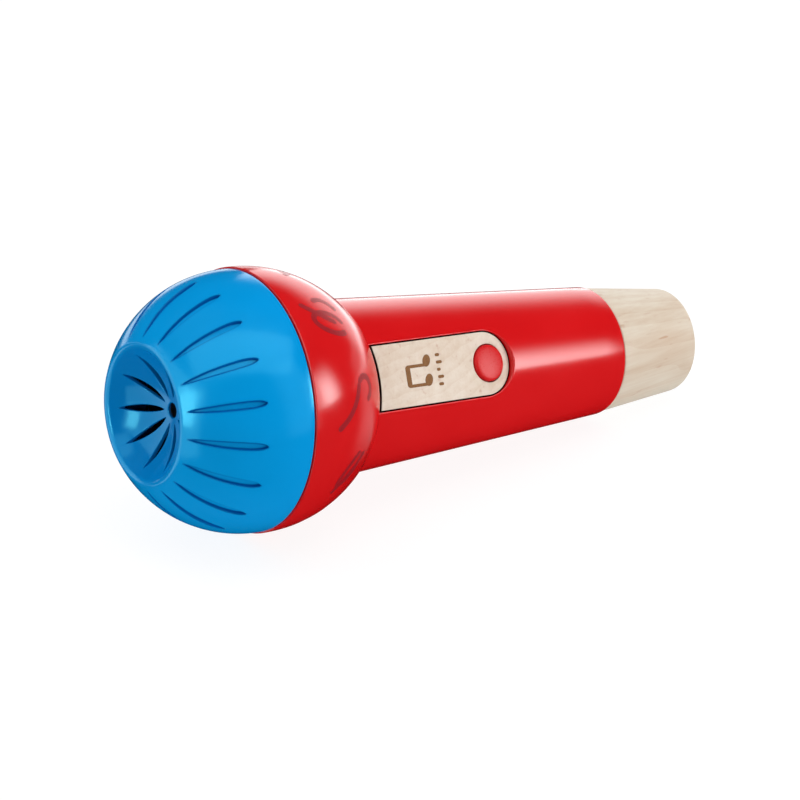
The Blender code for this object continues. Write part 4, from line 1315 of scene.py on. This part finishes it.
def make_floor():
    corners = [
        (x * FLOOR_HALF, y * FLOOR_HALF, FLOOR_Z) for x, y in ((-1, -1), (1, -1), (1, 1), (-1, 1))
    ]
    mesh = bpy.data.meshes.new("floor")
    mesh.from_pydata(corners, [], [(0, 1, 2, 3)])
    floor = linked("floor", mesh)
    look = Look(
        "floor_paper",
        Roughness=0.9,
        Specular_IOR_Level=0.1,
        Emission_Strength=0.90,
        Emission_Color=(1.0, 1.0, 1.0),
    )
    fibres = look.noise((900,) * 3, detail=2.0)
    look.connect("Base Color", look.ramp(fibres, (0.3, (0.12,) * 3), (0.7, (0.14,) * 3)))
    mesh.materials.append(look.material)
    floor.visible_glossy = False


def direction(azimuth, elevation):
    """The way from the object to what stands round it: azimuth 0 is -Y and 90 is +X."""
    a, e = math.radians(azimuth), math.radians(elevation)
    return Vector((math.sin(a) * math.cos(e), -math.cos(a) * math.cos(e), math.sin(e)))


def panel(name, width, height, power, diffuse=True, glossy=True):
    """A rectangular area light, seen by matt surfaces, by glossy ones or by both."""
    data = bpy.data.lights.new(name, "AREA")
    data.shape = "RECTANGLE"
    data.size = width
    data.size_y = height
    data.energy = power
    light = linked(name, data)
    light.visible_camera = False
    light.visible_diffuse = diffuse
    light.visible_glossy = glossy
    return light


def fade(light, share, near=1.0, far=1.0, bottom=1.0, top=1.0):
    """Softens a light over a share of its size, down to each value at its edges: near and far
    are the edges of smaller and larger azimuth."""
    light.data.use_nodes = True
    nodes = Nodes(light.data.node_tree)
    place = nodes.node("ShaderNodeNewGeometry").outputs["Parametric"]
    split = nodes.node("ShaderNodeSeparateXYZ", {"Vector": place}).outputs
    strength = None
    for axis, edge, low in (("X", 0, near), ("X", 1, far), ("Y", 0, bottom), ("Y", 1, top)):
        if low < 1.0:
            level = nodes.between(
                split[axis], edge, abs(edge - share), low, interpolation_type="SMOOTHSTEP"
            )
            strength = level if strength is None else nodes.math("MULTIPLY", strength, level)
    nodes.feed(nodes.tree.nodes["Emission"].inputs["Strength"], strength)


def make_world():
    """White behind the object, and a softer white light on it."""
    world = bpy.data.worlds.new("studio")
    bpy.context.scene.world = world
    world.use_nodes = True
    nodes = Nodes(world.node_tree)
    background = nodes.tree.nodes["Background"].inputs
    seen = nodes.node("ShaderNodeLightPath").outputs["Is Camera Ray"]
    nodes.feed(background["Color"], (1.0, 1.0, 1.0))
    nodes.feed(background["Strength"], nodes.between(seen, 0.0, 1.0, 0.5, 1.0))
    world.cycles_visibility.glossy = False


def make_lights():
    """Panels that face the head. Most show only in the gloss, and two only light it."""
    matt, gloss = {"glossy": False}, {"diffuse": False}
    # Name, azimuth, elevation, distance, width, height, watts, who sees it, (share, edges) faded
    panels = [
        ("right_window", 49, 16.5, 1.2, 0.46, 0.64, 10.6, {}, (0.7, {"far": 0, "top": 0})),
        ("right_pane", 32.5, 16.5, 1.2, 0.24, 0.64, 3.0, gloss, (0.85, {"near": 0, "top": 0})),
        ("left_window", -78, 14, 1.2, 0.32, 0.58, 5.0, gloss, None),
        ("left_wall", -103, 5, 2.0, 3.2, 2.6, 52.0, gloss, None),
        ("right_card", 92, -16, 1.2, 0.86, 1.1, 1.9, gloss, (0.35, {"near": 0, "bottom": 0.1})),
        ("back_wall", 120, 14, 2.2, 2.15, 1.8, 25.0, gloss, (0.45, {"near": 0, "top": 0})),
        ("front_ceiling", -25, 67, 2.0, 3.4, 1.4, 30.0, gloss, None),
        ("front_wall", 17, 17, 2.0, 1.2, 2.2, 8.0, gloss, (0.4, {"near": 0})),
        ("key", 40, 74, 1.6, 1.2, 1.2, 8.0, matt, None),
        ("top_back", -140, 60, 1.6, 1.2, 1.2, 8.0, matt, None),
    ]
    for name, azimuth, elevation, distance, width, height, power, seen, faded in panels:
        away = direction(azimuth, elevation)
        light = panel(name, width, height, power, **seen)
        light.location = Vector((0, 0, HEAD_RADIUS)) + away * distance
        light.rotation_euler = away.to_track_quat("Z", "Y").to_euler()
        if faded is not None:
            share, edges = faded
            fade(light, share, **edges)
    # A bright floor behind the object, facing up
    rear = 144.2
    floor = panel("rear_floor", 3.0, 2.2, 27.0, **gloss)
    floor.location = direction(rear, 0) * 1.4 + Vector((0, 0, 1 * MM))
    floor.rotation_euler = (math.pi, 0, math.radians(rear))


def make_camera():
    data = bpy.data.cameras.new("camera")
    data.lens = CAMERA_LENS
    data.sensor_width = 36.0
    data.clip_start = 0.01
    data.clip_end = 50.0
    camera = linked("camera", data)
    back = direction(CAMERA_AZIMUTH, CAMERA_ELEVATION)
    camera.location = CAMERA_AIM + back * CAMERA_DISTANCE
    roll = Matrix.Rotation(math.radians(CAMERA_ROLL), 3, "Z")
    camera.rotation_euler = (back.to_track_quat("Z", "Y").to_matrix() @ roll).to_euler()
    bpy.context.scene.camera = camera


def main():
    # The darker colours given for recesses are painted shade, for the grooves, the dish and the joint round the
    # inlay.
    blue = plastic(
        "blue_gloss_abs",
        (0.0, 0.305, 0.72),
        0.16,
        painted_shade=(0.0, 0.085, 0.36),
        Specular_Tint=(0.18, 0.95, 1.0),
    )
    red = plastic("red_gloss_abs", (0.64, 0.005, 0.007), 0.17, painted_shade=(0.012, 0.0, 0.0))
    button_red = plastic("red_button_abs", (0.62, 0.005, 0.007), 0.28, Specular_IOR_Level=0.22)
    charcoal = plastic("charcoal_abs", (0.030, 0.031, 0.034), 0.45)
    film = plastic("grey_film", (0.10, 0.10, 0.11), 0.35)
    print_ink = ink("dark_red_ink", (0.30, 0.005, 0.011), 0.32)
    mark_ink = ink("brown_ink", (0.20, 0.080, 0.018), 0.55)
    plug_wood = wood(
        "plug_maple",
        AXIS,
        pale=(0.70, 0.62, 0.51),
        tan=(0.58, 0.43, 0.31),
        fleck=(0.44, 0.20, 0.10),
        pith=(0.06, 0.03),
        slant=0.12,
        strength=0.08,
    )
    inlay_wood = wood(
        "inlay_maple",
        INLAY,
        pale=(0.76, 0.66, 0.56),
        tan=(0.64, 0.49, 0.37),
        fleck=(0.50, 0.25, 0.15),
        pith=(0.05, -0.09),
        slant=0.1,
        strength=0.05,
        burnt=-0.05 * MM,
    )
    spring = steel("spring_wire", (0.60, 0.60, 0.62), 0.28, 3000)
    screw = steel("zinc_screw", (0.62, 0.62, 0.64), 0.34, 1800)

    make_grille(blue)
    make_bowl(red)
    make_handle(red)
    make_inlay(inlay_wood)
    make_button(button_red)
    make_button_spring(spring)
    make_plug(plug_wood)
    make_prints(print_ink)
    make_mark(mark_ink)

    carried = {
        "horn": charcoal,
        "clamp_ring": charcoal,
        "spring_post": charcoal,
        "diaphragm": film,
        "echo_spring": spring,
        "screw_eye": screw,
        "push_nut": screw,
    }
    for number in (1, 2, 3):
        carried[f"clamp_screw_{number}"] = screw
        carried[f"head_screw_{number}"] = screw
    for name, material in carried.items():
        node = frame["nodes"][name]
        node.data.materials.clear()
        node.data.materials.append(material)

    make_floor()
    make_world()
    make_lights()
    make_camera()
    bpy.context.scene.view_settings.view_transform = "Standard"


main()
